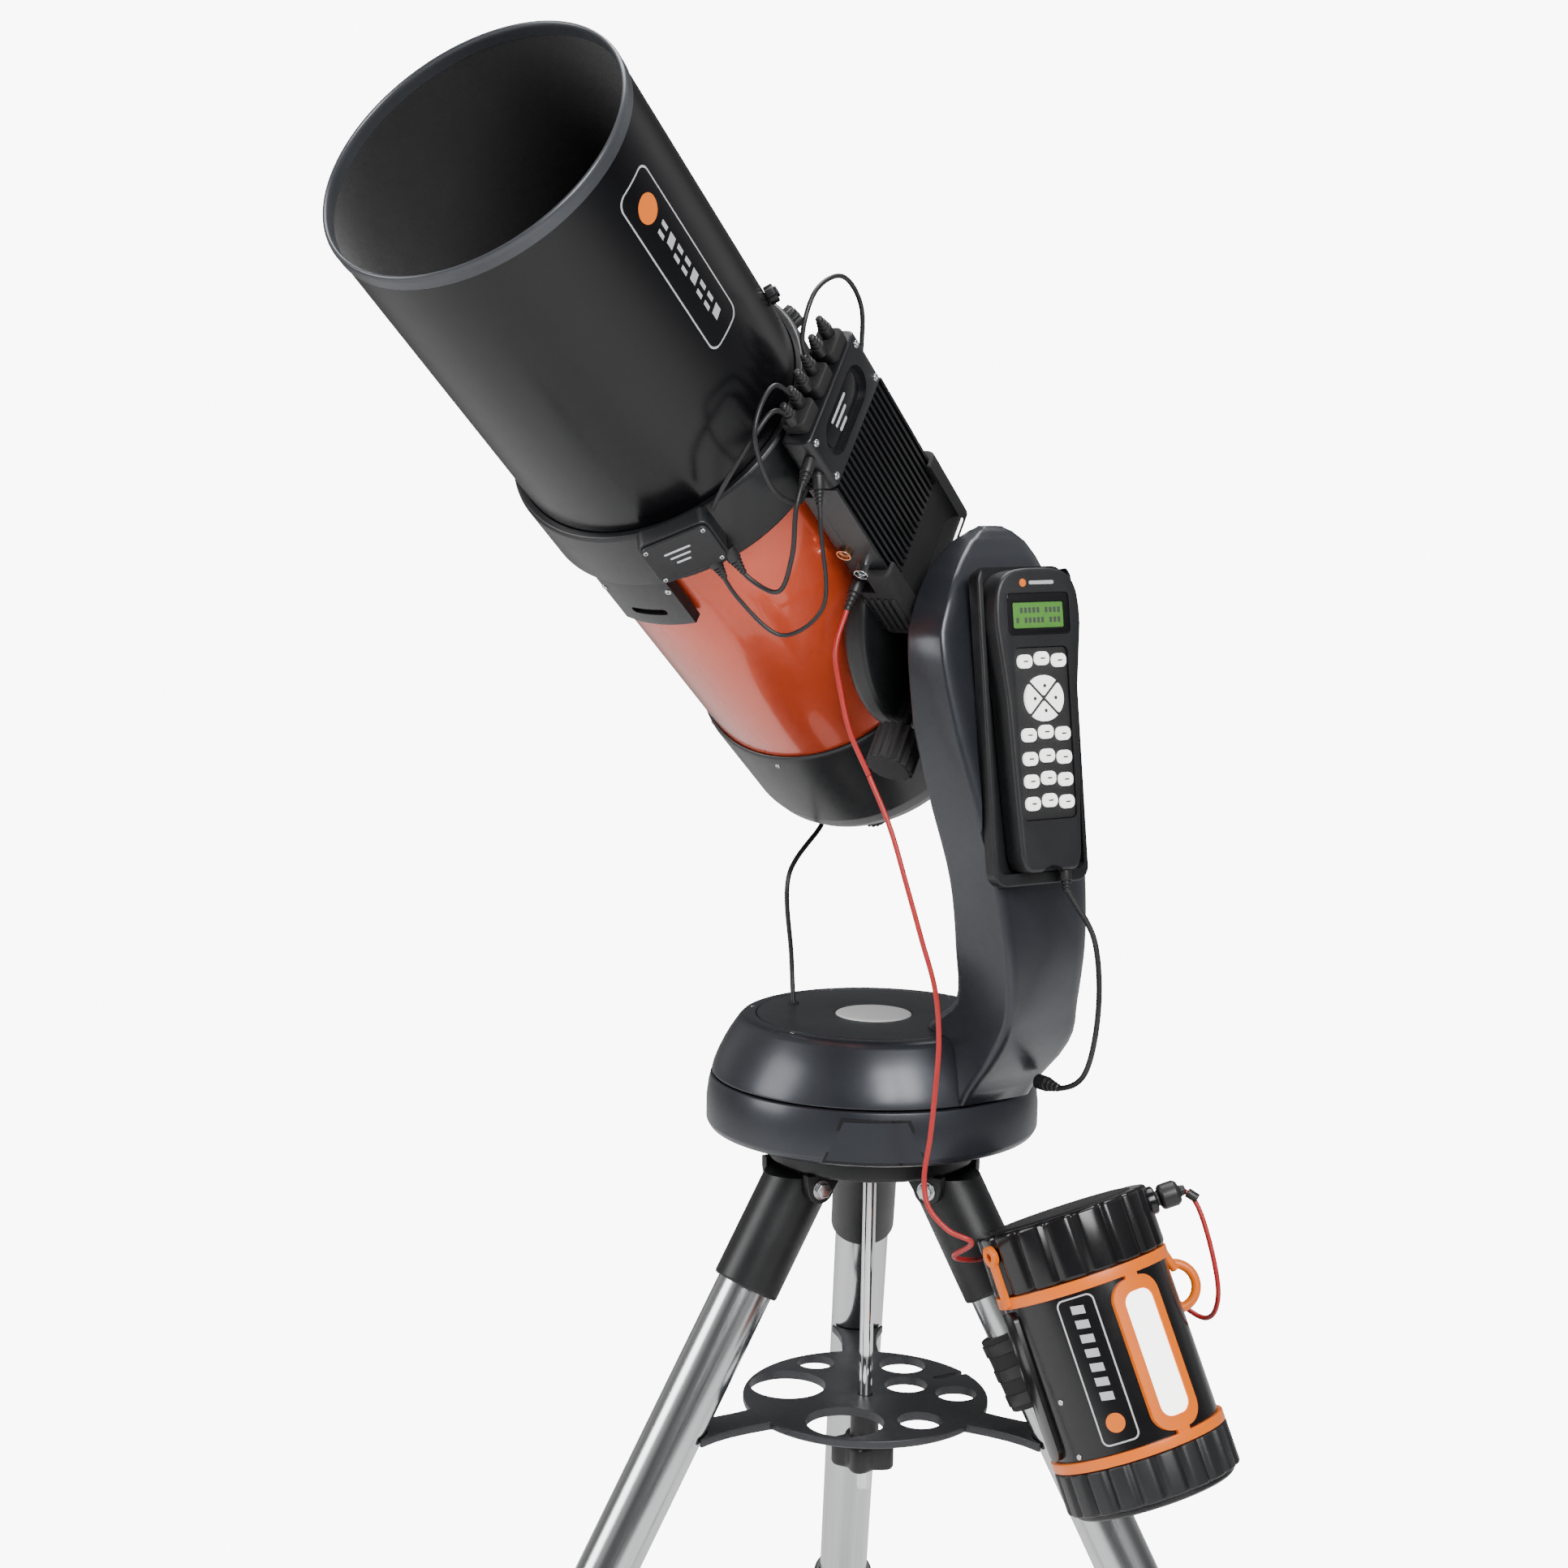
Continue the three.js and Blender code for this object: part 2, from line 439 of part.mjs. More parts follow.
const hollow = box(118, BOX_W[1] + GAP, BOX_N[0] - GAP, BOX_N[1] + GAP, 158 - GAP, 200);
const portNotch = box(118, 138, -60, BOX_N[0], 158 - GAP, 190);
add('controller_bumper', at(cut(wrap, hollow, portNotch), TUBE), mats.rubber);

// Round power tank held beside the leg on +X; local Z runs down its axis from the top, local Y faces the front
const TANK_R = 71.5;
const TANK_CAP_R = 75.5;
const TANK_L = 245;
const TANK_BODY = [52, 203];
const TANK = basis(V(204, -35, SEAM_Z - 86), V(0.8564, 0.5163, 0), V(0.413, -0.0481, -0.9095));
const tankLeg = legFrame(LEG_AZIMUTHS[0]);
let tank = lathe([[0, 0], [64, 0], [71, 5], [71, TANK_BODY[0]], [TANK_R, TANK_BODY[0]], [TANK_R, TANK_BODY[1]], [71, TANK_BODY[1]],
  [71, TANK_L - 5], [66, TANK_L], [0, TANK_L]], 36);
tank = join(tank, knob(TANK_CAP_R, 6, TANK_BODY[0], 24, 2, 4), knob(TANK_CAP_R, TANK_BODY[1], TANK_L - 6, 20, 2.4, 4));
const lampAngle = rad(65);
const lampFrame = basis(V(0, 0, 127.5), V(-Math.sin(lampAngle), Math.cos(lampAngle), 0), V(Math.cos(lampAngle), Math.sin(lampAngle), 0));
const socket = new THREE.CylinderGeometry(11, 11, 8, 16).rotateZ(Math.PI / 2).translate(TANK_CAP_R + 2, 0, 16);
tank = cut(join(tank, socket), at(plate(52, 132, 18, 60, 90), lampFrame));
add('tank_body', at(tank, TANK), mats.black);
const bands = join(ring(TANK_R + GAP, 75, TANK_BODY[0] + GAP, 62, 36), ring(TANK_R + GAP, 75, 194, TANK_BODY[1] - GAP, 36));
const lampRim = cut(at(plate(51.4, 131.4, 17.7, 60 + GAP, 76), lampFrame), at(plate(32, 112, 12, 62, 90), lampFrame));
const bars = clip(ring(TANK_R + GAP, 75, 58, 197, 36), at(box(-6, 6, -70, 70, 60, 90), lampFrame));
const bridge = cut(bars, at(plate(40, 120, 12, 50, 90), lampFrame));
add('tank_lamp_frame', at(join(lampRim, bands, bridge), TANK), mats.orangePlastic);
add('tank_lamp_lens', at(at(plate(31.4, 111.4, 11.7, 62 + GAP, 74), lampFrame), TANK), mats.lens);
const clasp = at(ring(LEG_R + GAP, 32, 180, 246, 20), tankLeg);
const link = at(cut(box(60, 100, -16, 16, 92, 146).rotateZ(rad(238.8)), disc(TANK_R + GAP, 0, 250, 36)), TANK);
const legBore = at(disc(LEG_R + GAP, 150, 300, 20), tankLeg);
add('tank_bracket', cut(join(clasp, link), legBore), mats.black);

// Cords. Points are [x, y, z] in the part frame.
const pt = (w, n, s) => V(w, n, s).applyMatrix4(TUBE).toArray();
const cp = (x, y, z) => V(x, y, z).applyMatrix4(CONTROL).toArray();
const tk = (x, y, z) => V(x, y, z).applyMatrix4(TANK).toArray();
const S = SEAM_Z;
export const ROUTES = {
  power_cord_upper: [pt(125, -37.8, 168), [61, -172, S + 420], [59, -184, S + 390], [64, -183, S + 358], [72, -181, S + 326],
    [86, -173, S + 290.5]],
  power_cord_lower: [[86.4, -173, S + 289.6], [107, -174, S + 250], [124, -174, S + 203], [137, -172, S + 162],
    [149, -169, S + 121], [152, -166, S + 79], [152, -170, S + 40], [150, -173, S + 1], [147, -176, S - 34], [153, -179, S - 55],
    [170, -175, S - 73], [186, -167, S - 81], tk(-100, 50, 4), tk(-84, -16, 16), tk(-50, -67, 26), tk(10, -86, 50),
    tk(64, -64, 92), tk(92, -30, 126), tk(104, -4, 110), tk(112, 2, 60), tk(111, 1, 26), tk(104, 0, 16), tk(82, 0, 16)],
  data_cord: [pt(-37, -90, -137.9), pt(-37.6, -91.5, -156), [-92, 1, S + 168], [-88, 2, S + 93], [-81, -5, S + 51]],
  control_cord: [cp(16, -118.4, 22), cp(17, -132, 22), [232, -44, S + 150], [236, -42, S + 90], [222, -36, S + 34],
    [198, -26, S + 18], [171, -15, S + 18]],
  heater_cord: [pt(88, -103, 296.5), pt(98, -112, 272), pt(122, -118, 262), pt(142, -104, 288), pt(150, -76, 318),
    pt(149, -37.8, 322)],
};
add('power_cord_upper', cord(ROUTES.power_cord_upper, 2.2, 30), mats.red);
add('power_cord_lower', cord(ROUTES.power_cord_lower, 2.2, 96, 6), mats.red);
add('data_cord', cord(ROUTES.data_cord, 1.8, 20), mats.rubber);
add('control_cord', cord(ROUTES.control_cord, 2.4, 20), mats.rubber);
add('heater_cord', cord(ROUTES.heater_cord, 1.9, 32), mats.rubber);

export default root;
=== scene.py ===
from math import cos, hypot, pi, radians, sin

import bmesh
import bpy
from mathutils import Matrix, Vector


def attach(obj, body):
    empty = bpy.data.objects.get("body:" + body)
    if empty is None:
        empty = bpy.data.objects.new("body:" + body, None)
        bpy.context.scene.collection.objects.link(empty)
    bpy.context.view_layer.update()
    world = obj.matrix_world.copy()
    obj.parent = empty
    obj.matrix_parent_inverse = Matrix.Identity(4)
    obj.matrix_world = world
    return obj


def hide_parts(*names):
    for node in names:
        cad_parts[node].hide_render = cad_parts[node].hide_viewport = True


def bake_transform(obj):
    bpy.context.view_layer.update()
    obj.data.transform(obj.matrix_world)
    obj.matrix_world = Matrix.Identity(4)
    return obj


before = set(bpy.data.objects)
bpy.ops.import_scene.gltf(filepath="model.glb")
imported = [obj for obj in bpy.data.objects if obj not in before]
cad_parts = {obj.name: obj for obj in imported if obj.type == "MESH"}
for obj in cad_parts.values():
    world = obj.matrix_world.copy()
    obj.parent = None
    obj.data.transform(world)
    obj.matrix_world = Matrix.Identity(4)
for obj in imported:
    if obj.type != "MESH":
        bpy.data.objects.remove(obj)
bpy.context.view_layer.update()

# ---------------------------------------------------------------- dimensions, in millimetres
S = 860.0
ALT_Z = S + 378.0
TUBE_X = -60.0
ELEVATION = radians(36.76)
TUBE_R = 116.0
SHIELD_R = 121.0
LEG_R = 25.4
LEG_SPLAY = radians(29.8)
LEG_AZIMUTHS = [1.7, 121.7, 241.7]
PIVOT_R, PIVOT_DROP = 56.6, 54.5
FOOT_LENGTH = (S - PIVOT_DROP) / cos(LEG_SPLAY)
HINGE_L = 40.0
TUBE_START, TUBE_END = 110.0, 724.0
KNOB_L = TUBE_END + 14.0
EXTENSION = (494.0, 880.0)
SOCKET_END = 145.0
TRAY_Z = S - 306.0
BOX_W, BOX_N = (130.0, 155.0), (-37.0, 75.0)
BOX_MID = sum(BOX_N) / 2
TANK_R, TANK_CAP_R, TANK_L, TANK_BODY = 71.5, 75.5, 245.0, (52.0, 203.0)
BASE_TOP_R = 118.0


def basis(origin, x, z):
    """A matrix from local millimetres to part-frame millimetres."""
    zn = Vector(z).normalized()
    yn = zn.cross(Vector(x)).normalized()
    xn = yn.cross(zn).normalized()
    m = Matrix((xn, yn, zn)).transposed().to_4x4()
    m.translation = Vector(origin)
    return m


TUBE = basis((TUBE_X, 0, ALT_Z), (1, 0, 0), (0, -cos(ELEVATION), sin(ELEVATION)))
SEAM = Matrix.Translation((0, 0, S))
CONTROL = basis((184, -91, S + 331), (0.498, 0.867, 0.018), (0.857, -0.495, 0.13))
HUB = basis((0, 0, ALT_Z), (0, 0, -1), (1, 0, 0))


def leg_frame(azimuth):
    a = radians(azimuth)
    out = Vector((cos(a), sin(a), 0))
    up = Vector((0, 0, 1))
    down = out * sin(LEG_SPLAY) - up * cos(LEG_SPLAY)
    lift = out * cos(LEG_SPLAY) + up * sin(LEG_SPLAY)
    return basis(out * PIVOT_R + up * (S - PIVOT_DROP), lift, down)


TANK_LEG = leg_frame(LEG_AZIMUTHS[0])
TANK = basis((204, -35, S - 86), (0.8564, 0.5163, 0), (0.413, -0.0481, -0.9095))


def turned(degrees):
    return Matrix.Rotation(radians(degrees), 4, "Z")


def sideways(x, y, z):
    """A frame whose local Z runs along X."""
    return basis((x, y, z), (0, 0, 1), (1, 0, 0))


def tube_at(angle, radius, s):
    """A frame on the tube's surface: local Z outward, local Y forward along the tube."""
    a = radians(angle)
    out = Vector((cos(a), sin(a), 0))
    side = Vector((0, 0, 1)).cross(out) * -1
    return TUBE @ basis(out * radius + Vector((0, 0, s)), side, out)


# ---------------------------------------------------------------- camera
def aim_camera():
    pitch, roll = radians(6.99), radians(0.99)
    flat = Vector((-0.5163, 0.8564, 0)).normalized()
    up = Vector((0, 0, 1))
    forward = flat * cos(pitch) - up * sin(pitch)
    right = forward.cross(up).normalized()
    true_up = right.cross(forward)
    right, true_up = (right * cos(roll) + true_up * sin(roll), true_up * cos(roll) - right * sin(roll))
    camera = bpy.data.objects.new("camera", bpy.data.cameras.new("camera"))
    m = Matrix((right, true_up, -forward)).transposed().to_4x4()
    m.translation = Vector((1.0351, -1.8795, 1.3815))
    camera.matrix_world = m
    camera.data.lens = 55.9
    camera.data.sensor_width = 36
    camera.data.clip_end = 60
    bpy.context.collection.objects.link(camera)
    bpy.context.scene.camera = camera


aim_camera()


# ---------------------------------------------------------------- materials
def node(tree, kind, x=0, y=0, **values):
    n = tree.nodes.new(kind)
    n.location = (x, y)
    for key, value in values.items():
        setattr(n, key, value)
    return n


def link(tree, *pairs):
    for output, socket in pairs:
        tree.links.new(output, socket)


def noise(tree, vector, y, scale, detail):
    n = node(tree, "ShaderNodeTexNoise", -1000, y)
    n.inputs["Scale"].default_value = scale
    n.inputs["Detail"].default_value = detail
    link(tree, (vector, n.inputs["Vector"]))
    return n.outputs["Fac"]


def ramp(tree, factor, y, *stops):
    """A colour ramp with one stop for each position and colour."""
    n = node(tree, "ShaderNodeValToRGB", -700, y)
    elements = n.color_ramp.elements
    while len(elements) < len(stops):
        elements.new(0.5)
    for element, (position, colour) in zip(elements, stops):
        element.position = position
        element.color = (*colour, 1)
    link(tree, (factor, n.inputs["Fac"]))
    return n.outputs["Color"]


def surface(name, colour, metallic=0.0, rough=0.4, vary=0.08, cloud=18.0, grain=900.0, bump=0.12,
            depth=0.0002, rough_vary=0.06, coat=0.0, coat_rough=0.08, spec=0.5, transmission=0.0, sheen=0.0,
            glow=0.0, stretch=None):
    """A Principled surface with mottled colour, uneven roughness and a fine relief."""
    m = bpy.data.materials.new(name)
    m.use_nodes = True
    t = m.node_tree
    p = t.nodes["Principled BSDF"]
    for socket, value in (("Metallic", metallic), ("Specular IOR Level", spec), ("Coat Weight", coat),
                          ("Coat Roughness", coat_rough), ("Transmission Weight", transmission),
                          ("Sheen Weight", sheen), ("IOR", 1.5)):
        p.inputs[socket].default_value = value
    if glow:
        p.inputs["Emission Color"].default_value = (*colour, 1)
        p.inputs["Emission Strength"].default_value = glow
    vector = node(t, "ShaderNodeTexCoord", -1400, 0).outputs["Object"]
    if stretch is not None:
        mapping = node(t, "ShaderNodeMapping", -1200, 0)
        mapping.vector_type = "TEXTURE"
        mapping.inputs["Rotation"].default_value = stretch
        mapping.inputs["Scale"].default_value = (1, 1, 60)
        link(t, (vector, mapping.inputs["Vector"]))
        vector = mapping.outputs["Vector"]
    low = tuple(max(0.0, c * (1 - vary)) for c in colour)
    high = tuple(min(1.0, c * (1 + vary)) for c in colour)
    mottle = ramp(t, noise(t, vector, 300, cloud, 6), 300, (0.3, low), (0.7, high))
    span = node(t, "ShaderNodeMapRange", -700, 0)
    span.inputs["To Min"].default_value = max(0.02, rough - rough_vary)
    span.inputs["To Max"].default_value = min(1.0, rough + rough_vary)
    lift = node(t, "ShaderNodeBump", -400, -300)
    lift.inputs["Strength"].default_value = bump
    lift.inputs["Distance"].default_value = depth
    link(t, (mottle, p.inputs["Base Color"]), (noise(t, vector, 0, cloud * 2.3, 8), span.inputs["Value"]),
            (span.outputs["Result"], p.inputs["Roughness"]), (noise(t, vector, -300, grain, 3),
            lift.inputs["Height"]), (lift.outputs["Normal"], p.inputs["Normal"]))
    return m


ARM_PAINT = surface("arm_paint", (0.028, 0.031, 0.039), 0.45, 0.33, coat=0.3, coat_rough=0.22,
        grain=1800, bump=0.08)
CAST_BLACK = surface("cast_black", (0.008, 0.0085, 0.0095), 0.1, 0.40, vary=0.2,
        grain=1300, bump=0.3)
CELL_BLACK = surface("cell_black", (0.009, 0.0095, 0.011), 0.1, 0.34, vary=0.12,
        grain=1500, bump=0.14, coat=0.15, coat_rough=0.3)
SHIELD_BLACK = surface("shield_gloss", (0.003, 0.003, 0.004), 0.0, 0.24, vary=0.1,
        grain=500, bump=0.03, spec=0.4)
FELT = surface("felt_black", (0.006, 0.006, 0.007), 0.0, 0.95, vary=0.3, grain=1600,
        bump=0.8, depth=0.0006, sheen=0.2)
RIM_GREY = surface("rim_grey", (0.06, 0.064, 0.072), 0.3, 0.3, grain=1200, bump=0.1)
ORANGE = surface("tube_orange", (0.70, 0.078, 0.026), 0.4, 0.24, vary=0.04, grain=2200,
        bump=0.05, coat=0.8, coat_rough=0.05)
PLASTIC = surface("plastic_black", (0.011, 0.0115, 0.013), 0.0, 0.42, vary=0.15,
        grain=1700, bump=0.35)
GLOSS_PLASTIC = surface("plastic_gloss", (0.007, 0.007, 0.008), 0.0, 0.18, vary=0.1,
        grain=900, bump=0.05)
TRAY_GREY = surface("tray_grey", (0.035, 0.036, 0.040), 0.2, 0.42, vary=0.15, grain=1300,
        bump=0.25)
RUBBER = surface("rubber_black", (0.010, 0.010, 0.011), 0.0, 0.72, vary=0.25, grain=1400,
        bump=0.5)
STEEL = surface("steel_plain", (0.62, 0.63, 0.64), 1.0, 0.24, grain=900, bump=0.1)
CHROME = surface("chrome", (0.82, 0.83, 0.84), 1.0, 0.07, vary=0.03, grain=400, bump=0.03,
        rough_vary=0.03)
BRASS = surface("brass", (0.62, 0.42, 0.15), 1.0, 0.25, grain=900, bump=0.1)
COPPER = surface("copper", (0.72, 0.36, 0.20), 1.0, 0.22, grain=900, bump=0.1)
GLASS = surface("corrector_glass", (0.86, 0.95, 0.96), 0.0, 0.03, vary=0.01, bump=0.005,
        transmission=1.0, rough_vary=0.01)
MIRROR = surface("mirror", (0.93, 0.94, 0.95), 1.0, 0.03, vary=0.01, bump=0.005, rough_vary=0.01)
# the keys get a glow: painted light that makes them read pure white, though they are no lamps
KEY_PAINTED_GLOW = surface("key_white", (0.88, 0.88, 0.86), 0.0, 0.5, vary=0.03, grain=1500, bump=0.2,
        glow=1.6)
LEGEND = surface("legend_grey", (0.05, 0.06, 0.05), 0.0, 0.5, vary=0.1, bump=0.05)
BADGE = surface("badge_white", (0.78, 0.79, 0.80), 0.1, 0.35, vary=0.04, bump=0.08)
PRINT = surface("print_silver", (0.72, 0.73, 0.75), 0.4, 0.35, vary=0.05, bump=0.05)
EMBLEM = surface("emblem_orange", (0.85, 0.18, 0.01), 0.0, 0.35, vary=0.05, bump=0.05)
BEZEL = surface("bezel_black", (0.006, 0.006, 0.007), 0.0, 0.12, vary=0.1, bump=0.02)
LAMP_ORANGE = surface("lamp_orange", (0.90, 0.17, 0.0), 0.0, 0.33, vary=0.05, grain=1600,
        bump=0.15)
LENS = surface("lamp_lens", (0.90, 0.90, 0.88), 0.0, 0.22, vary=0.02, grain=700, bump=0.1,
        coat=0.4, glow=4.0)
RED_CORD = surface("cord_red", (0.42, 0.020, 0.020), 0.0, 0.4, vary=0.08, grain=2000, bump=0.1)
BLACK_CORD = surface("cord_black", (0.014, 0.014, 0.015), 0.0, 0.42, vary=0.15, grain=2000,
        bump=0.15)


DISPLAY = surface("display_green", (0.085, 0.24, 0.045), 0.0, 0.16, vary=0.07, cloud=60,
        bump=0.03, glow=0.15)


def steel_along(name, direction):
    turn = Vector((0, 0, 1)).rotation_difference(Vector(direction)).to_euler("XYZ")
    return surface(name, (0.60, 0.61, 0.62), 1.0, 0.20, vary=0.06, cloud=500, grain=2600,
            bump=0.10, depth=0.0001, rough_vary=0.07, stretch=tuple(turn))


# ---------------------------------------------------------------- mesh making
def piece(name, bm, matrix, material, body=None, replaces=(), sharp=33.0):
    """Puts local millimetres into the part frame in metres, with smooth faces and crisp edges.
    """
    bmesh.ops.remove_doubles(bm, verts=bm.verts, dist=1e-4)
    bmesh.ops.recalc_face_normals(bm, faces=bm.faces)
    limit = radians(sharp)
    for e in bm.edges:
        e.smooth = len(e.link_faces) == 2 and e.calc_face_angle(0) < limit
    for f in bm.faces:
        f.smooth = True
    mesh = bpy.data.meshes.new(name)
    bm.to_mesh(mesh)
    bm.free()
    mesh.transform(Matrix.Scale(0.001, 4) @ matrix)
    ob = bpy.data.objects.new(name, mesh)
    bpy.context.collection.objects.link(ob)
    mesh.materials.append(material)
    if body:
        if replaces:
            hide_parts(replaces)
        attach(ob, body)
    return ob


def soften(profile, radius, closed, steps=4):
    """Rounds each corner of a profile by up to the radius."""
    n = len(profile)
    out = []
    for i, (x, y) in enumerate(profile):
        if not closed and i in (0, n - 1):
            out.append((x, y))
            continue
        p, a, b = Vector((x, y)), Vector(profile[i - 1]), Vector(profile[(i + 1) % n])
        da, db = a - p, b - p
        if da.length < 1e-6 or db.length < 1e-6 or da.angle(db) > radians(172):
            out.append((x, y))
            continue
        cut = min(radius, da.length * 0.45, db.length * 0.45)
        start, end = p + da.normalized() * cut, p + db.normalized() * cut
        for k in range(steps + 1):
            t = k / steps
            q = start * (1 - t) ** 2 + p * 2 * t * (1 - t) + end * t * t
            out.append((q.x, q.y))
    return out


def bridge(bm, a, b):
    """Faces between two closed rings of vertices, or a fan where one of them is a single point."""
    n = max(len(a), len(b))
    for i in range(n):
        j = (i + 1) % n
        if len(a) == 1:
            bm.faces.new((a[0], b[j], b[i]))
        elif len(b) == 1:
            bm.faces.new((a[i], a[j], b[0]))
        else:
            bm.faces.new((a[i], a[j], b[j], b[i]))


def lathe_bm(profile, segments=128, closed=False, round_by=0.6):
    """A turned body about local Z from [radius, height] pairs."""
    points = soften([tuple(p) for p in profile], round_by, closed) if round_by else profile
    bm = bmesh.new()
    rings = []
    for r, z in points:
        if r < 1e-6:
            rings.append([bm.verts.new((0, 0, z))])
        else:
            rings.append([bm.verts.new((r * cos(2 * pi * i / segments), r * sin(2 * pi * i / segments),
                    z)) for i in range(segments)])
    pairs = list(zip(rings, rings[1:]))
    if closed:
        pairs.append((rings[-1], rings[0]))
    for a, b in pairs:
        if len(a) > 1 or len(b) > 1:
            bridge(bm, a, b)
    return bm


def ring_bm(inner, outer, z0, z1, segments=128, round_by=0.6):
    return lathe_bm([(inner, z0), (outer, z0), (outer, z1), (inner, z1)], segments, True, round_by)


def disc_bm(r, z0, z1, segments=64, round_by=0.5):
    return lathe_bm([(0, z0), (r, z0), (r, z1), (0, z1)], segments, False, round_by)


def prism_bm(outline, z0, z1, bevel=0.8, steps=3):
    """An outline pushed along local Z, with rounded rims."""
    bm = bmesh.new()
    low = [bm.verts.new((x, y, z0)) for x, y in outline]
    high = [bm.verts.new((x, y, z1)) for x, y in outline]
    bm.faces.new(list(reversed(low)))
    bm.faces.new(high)
    bridge(bm, low, high)
    bmesh.ops.recalc_face_normals(bm, faces=bm.faces)
    if bevel:
        rim = [e for e in bm.edges if abs(e.verts[0].co.z - e.verts[1].co.z) < 1e-6]
        bmesh.ops.bevel(bm, geom=rim, offset=bevel, segments=steps, profile=0.5, affect="EDGES",
                clamp_overlap=True)
    return bm


def round_rect(w, h, r, steps=7):
    pts = []
    for cx, cy, start in ((w / 2 - r, h / 2 - r, 0), (r - w / 2, h / 2 - r, 90),
            (r - w / 2, r - h / 2, 180), (w / 2 - r, r - h / 2, 270)):
        for i in range(steps + 1):
            a = radians(start + 90 * i / steps)
            pts.append((cx + r * cos(a), cy + r * sin(a)))
    return pts


def ngon(r, n):
    return [(r * cos(2 * pi * k / n), r * sin(2 * pi * k / n)) for k in range(n)]


def slab(size, z0, z1, bevel=0.8, steps=3, at=(0, 0, 0)):
    """A plate with rounded corners from its width, height and corner radius."""
    return moved(prism_bm(round_rect(*size), z0, z1, bevel, steps), shift(*at))


def lobed(r, lobes, depth, steps=10, sharp=1.0):
    pts = []
    for i in range(lobes * steps):
        a = 2 * pi * i / (lobes * steps)
        wave = (0.5 - 0.5 * cos(a * lobes)) ** sharp
        rr = r - depth * wave
        pts.append((rr * cos(a), rr * sin(a)))
    return pts


def lobed_body(outline, levels, bore):
    """A lobed grip around a bore: each level insets the outline at a height along local Z."""
    bm = bmesh.new()
    rings = []
    for inset, z in levels:
        ring = []
        for x, y in outline:
            r = hypot(x, y)
            ring.append(bm.verts.new((x * (r - inset) / r, y * (r - inset) / r, z)))
        rings.append(ring)
    for z in (levels[-1][1], levels[0][1]):
        rings.append([bm.verts.new((bore * x / hypot(x, y), bore * y / hypot(x, y), z)) for x, y in outline])
    for a, b in zip(rings, rings[1:] + rings[:1]):
        bridge(bm, a, b)
    return bm


def moved(bm, matrix):
    bmesh.ops.transform(bm, matrix=matrix, verts=bm.verts)
    return bm


def shift(x, y, z):
    return Matrix.Translation((x, y, z))


def merged(*parts):
    """Several closed shells in one mesh."""
    out = bmesh.new()
    for part in parts:
        spare = bpy.data.meshes.new("spare")
        part.to_mesh(spare)
        part.free()
        out.from_mesh(spare)
        bpy.data.meshes.remove(spare)
    return out


def carve(bm, *cutters, mode="DIFFERENCE"):
    """Boolean of one mesh with others, all in the same local millimetres."""
    def loose(b, label):
        mesh = bpy.data.meshes.new(label)
        bmesh.ops.recalc_face_normals(b, faces=b.faces)
        b.to_mesh(mesh)
        b.free()
        ob = bpy.data.objects.new(label, mesh)
        bpy.context.collection.objects.link(ob)
        return ob
    base = loose(bm, "carve_base")
    tools = [loose(c, "carve_tool") for c in cutters]
    for tool in tools:
        mod = base.modifiers.new("cut", "BOOLEAN")
        mod.operation = mode
        mod.solver = "EXACT"
        mod.object = tool
    graph = bpy.context.evaluated_depsgraph_get()
    graph.update()
    done = bpy.data.meshes.new_from_object(base.evaluated_get(graph))
    out = bmesh.new()
    out.from_mesh(done)
    for ob in [base, *tools]:
        mesh = ob.data
        bpy.data.objects.remove(ob)
        bpy.data.meshes.remove(mesh)
    bpy.data.meshes.remove(done)
    return out


def catmull(points, per_span=16):
    """A centripetal curve through points, as evenly fine samples."""
    pts = [Vector(p) for p in points]
    pts = [pts[0] * 2 - pts[1], *pts, pts[-1] * 2 - pts[-2]]
    out = []
    for i in range(1, len(pts) - 2):
        p0, p1, p2, p3 = pts[i - 1:i + 3]
        t0 = 0.0
        t1 = t0 + (p1 - p0).length ** 0.5
        t2 = t1 + (p2 - p1).length ** 0.5
        t3 = t2 + (p3 - p2).length ** 0.5
        for k in range(per_span):
            t = t1 + (t2 - t1) * k / per_span
            a1 = p0 * ((t1 - t) / (t1 - t0)) + p1 * ((t - t0) / (t1 - t0))
            a2 = p1 * ((t2 - t) / (t2 - t1)) + p2 * ((t - t1) / (t2 - t1))
            a3 = p2 * ((t3 - t) / (t3 - t2)) + p3 * ((t - t2) / (t3 - t2))
            b1 = a1 * ((t2 - t) / (t2 - t0)) + a2 * ((t - t0) / (t2 - t0))
            b2 = a2 * ((t3 - t) / (t3 - t1)) + a3 * ((t - t1) / (t3 - t1))
            out.append(b1 * ((t2 - t) / (t2 - t1)) + b2 * ((t - t1) / (t2 - t1)))
    out.append(pts[-2].copy())
    return out


def sweep_bm(path, radius, sides=14):
    """A round body along a path, with closed ends."""
    bm = bmesh.new()
    rings = []
    tangent = (path[1] - path[0]).normalized()
    normal = tangent.orthogonal().normalized()
    for i, p in enumerate(path):
        ahead = path[min(i + 1, len(path) - 1)] - path[max(i - 1, 0)]
        ahead.normalize()
        normal = (normal - ahead * normal.dot(ahead)).normalized()
        across = ahead.cross(normal)
        spokes = [normal * cos(2 * pi * k / sides) + across * sin(2 * pi * k / sides) for k in range(sides)]
        rings.append([bm.verts.new(p + spoke * radius) for spoke in spokes])
    for a, b in zip(rings, rings[1:]):
        bridge(bm, a, b)
    bm.faces.new(list(reversed(rings[0])))
    bm.faces.new(rings[-1])
    return bm


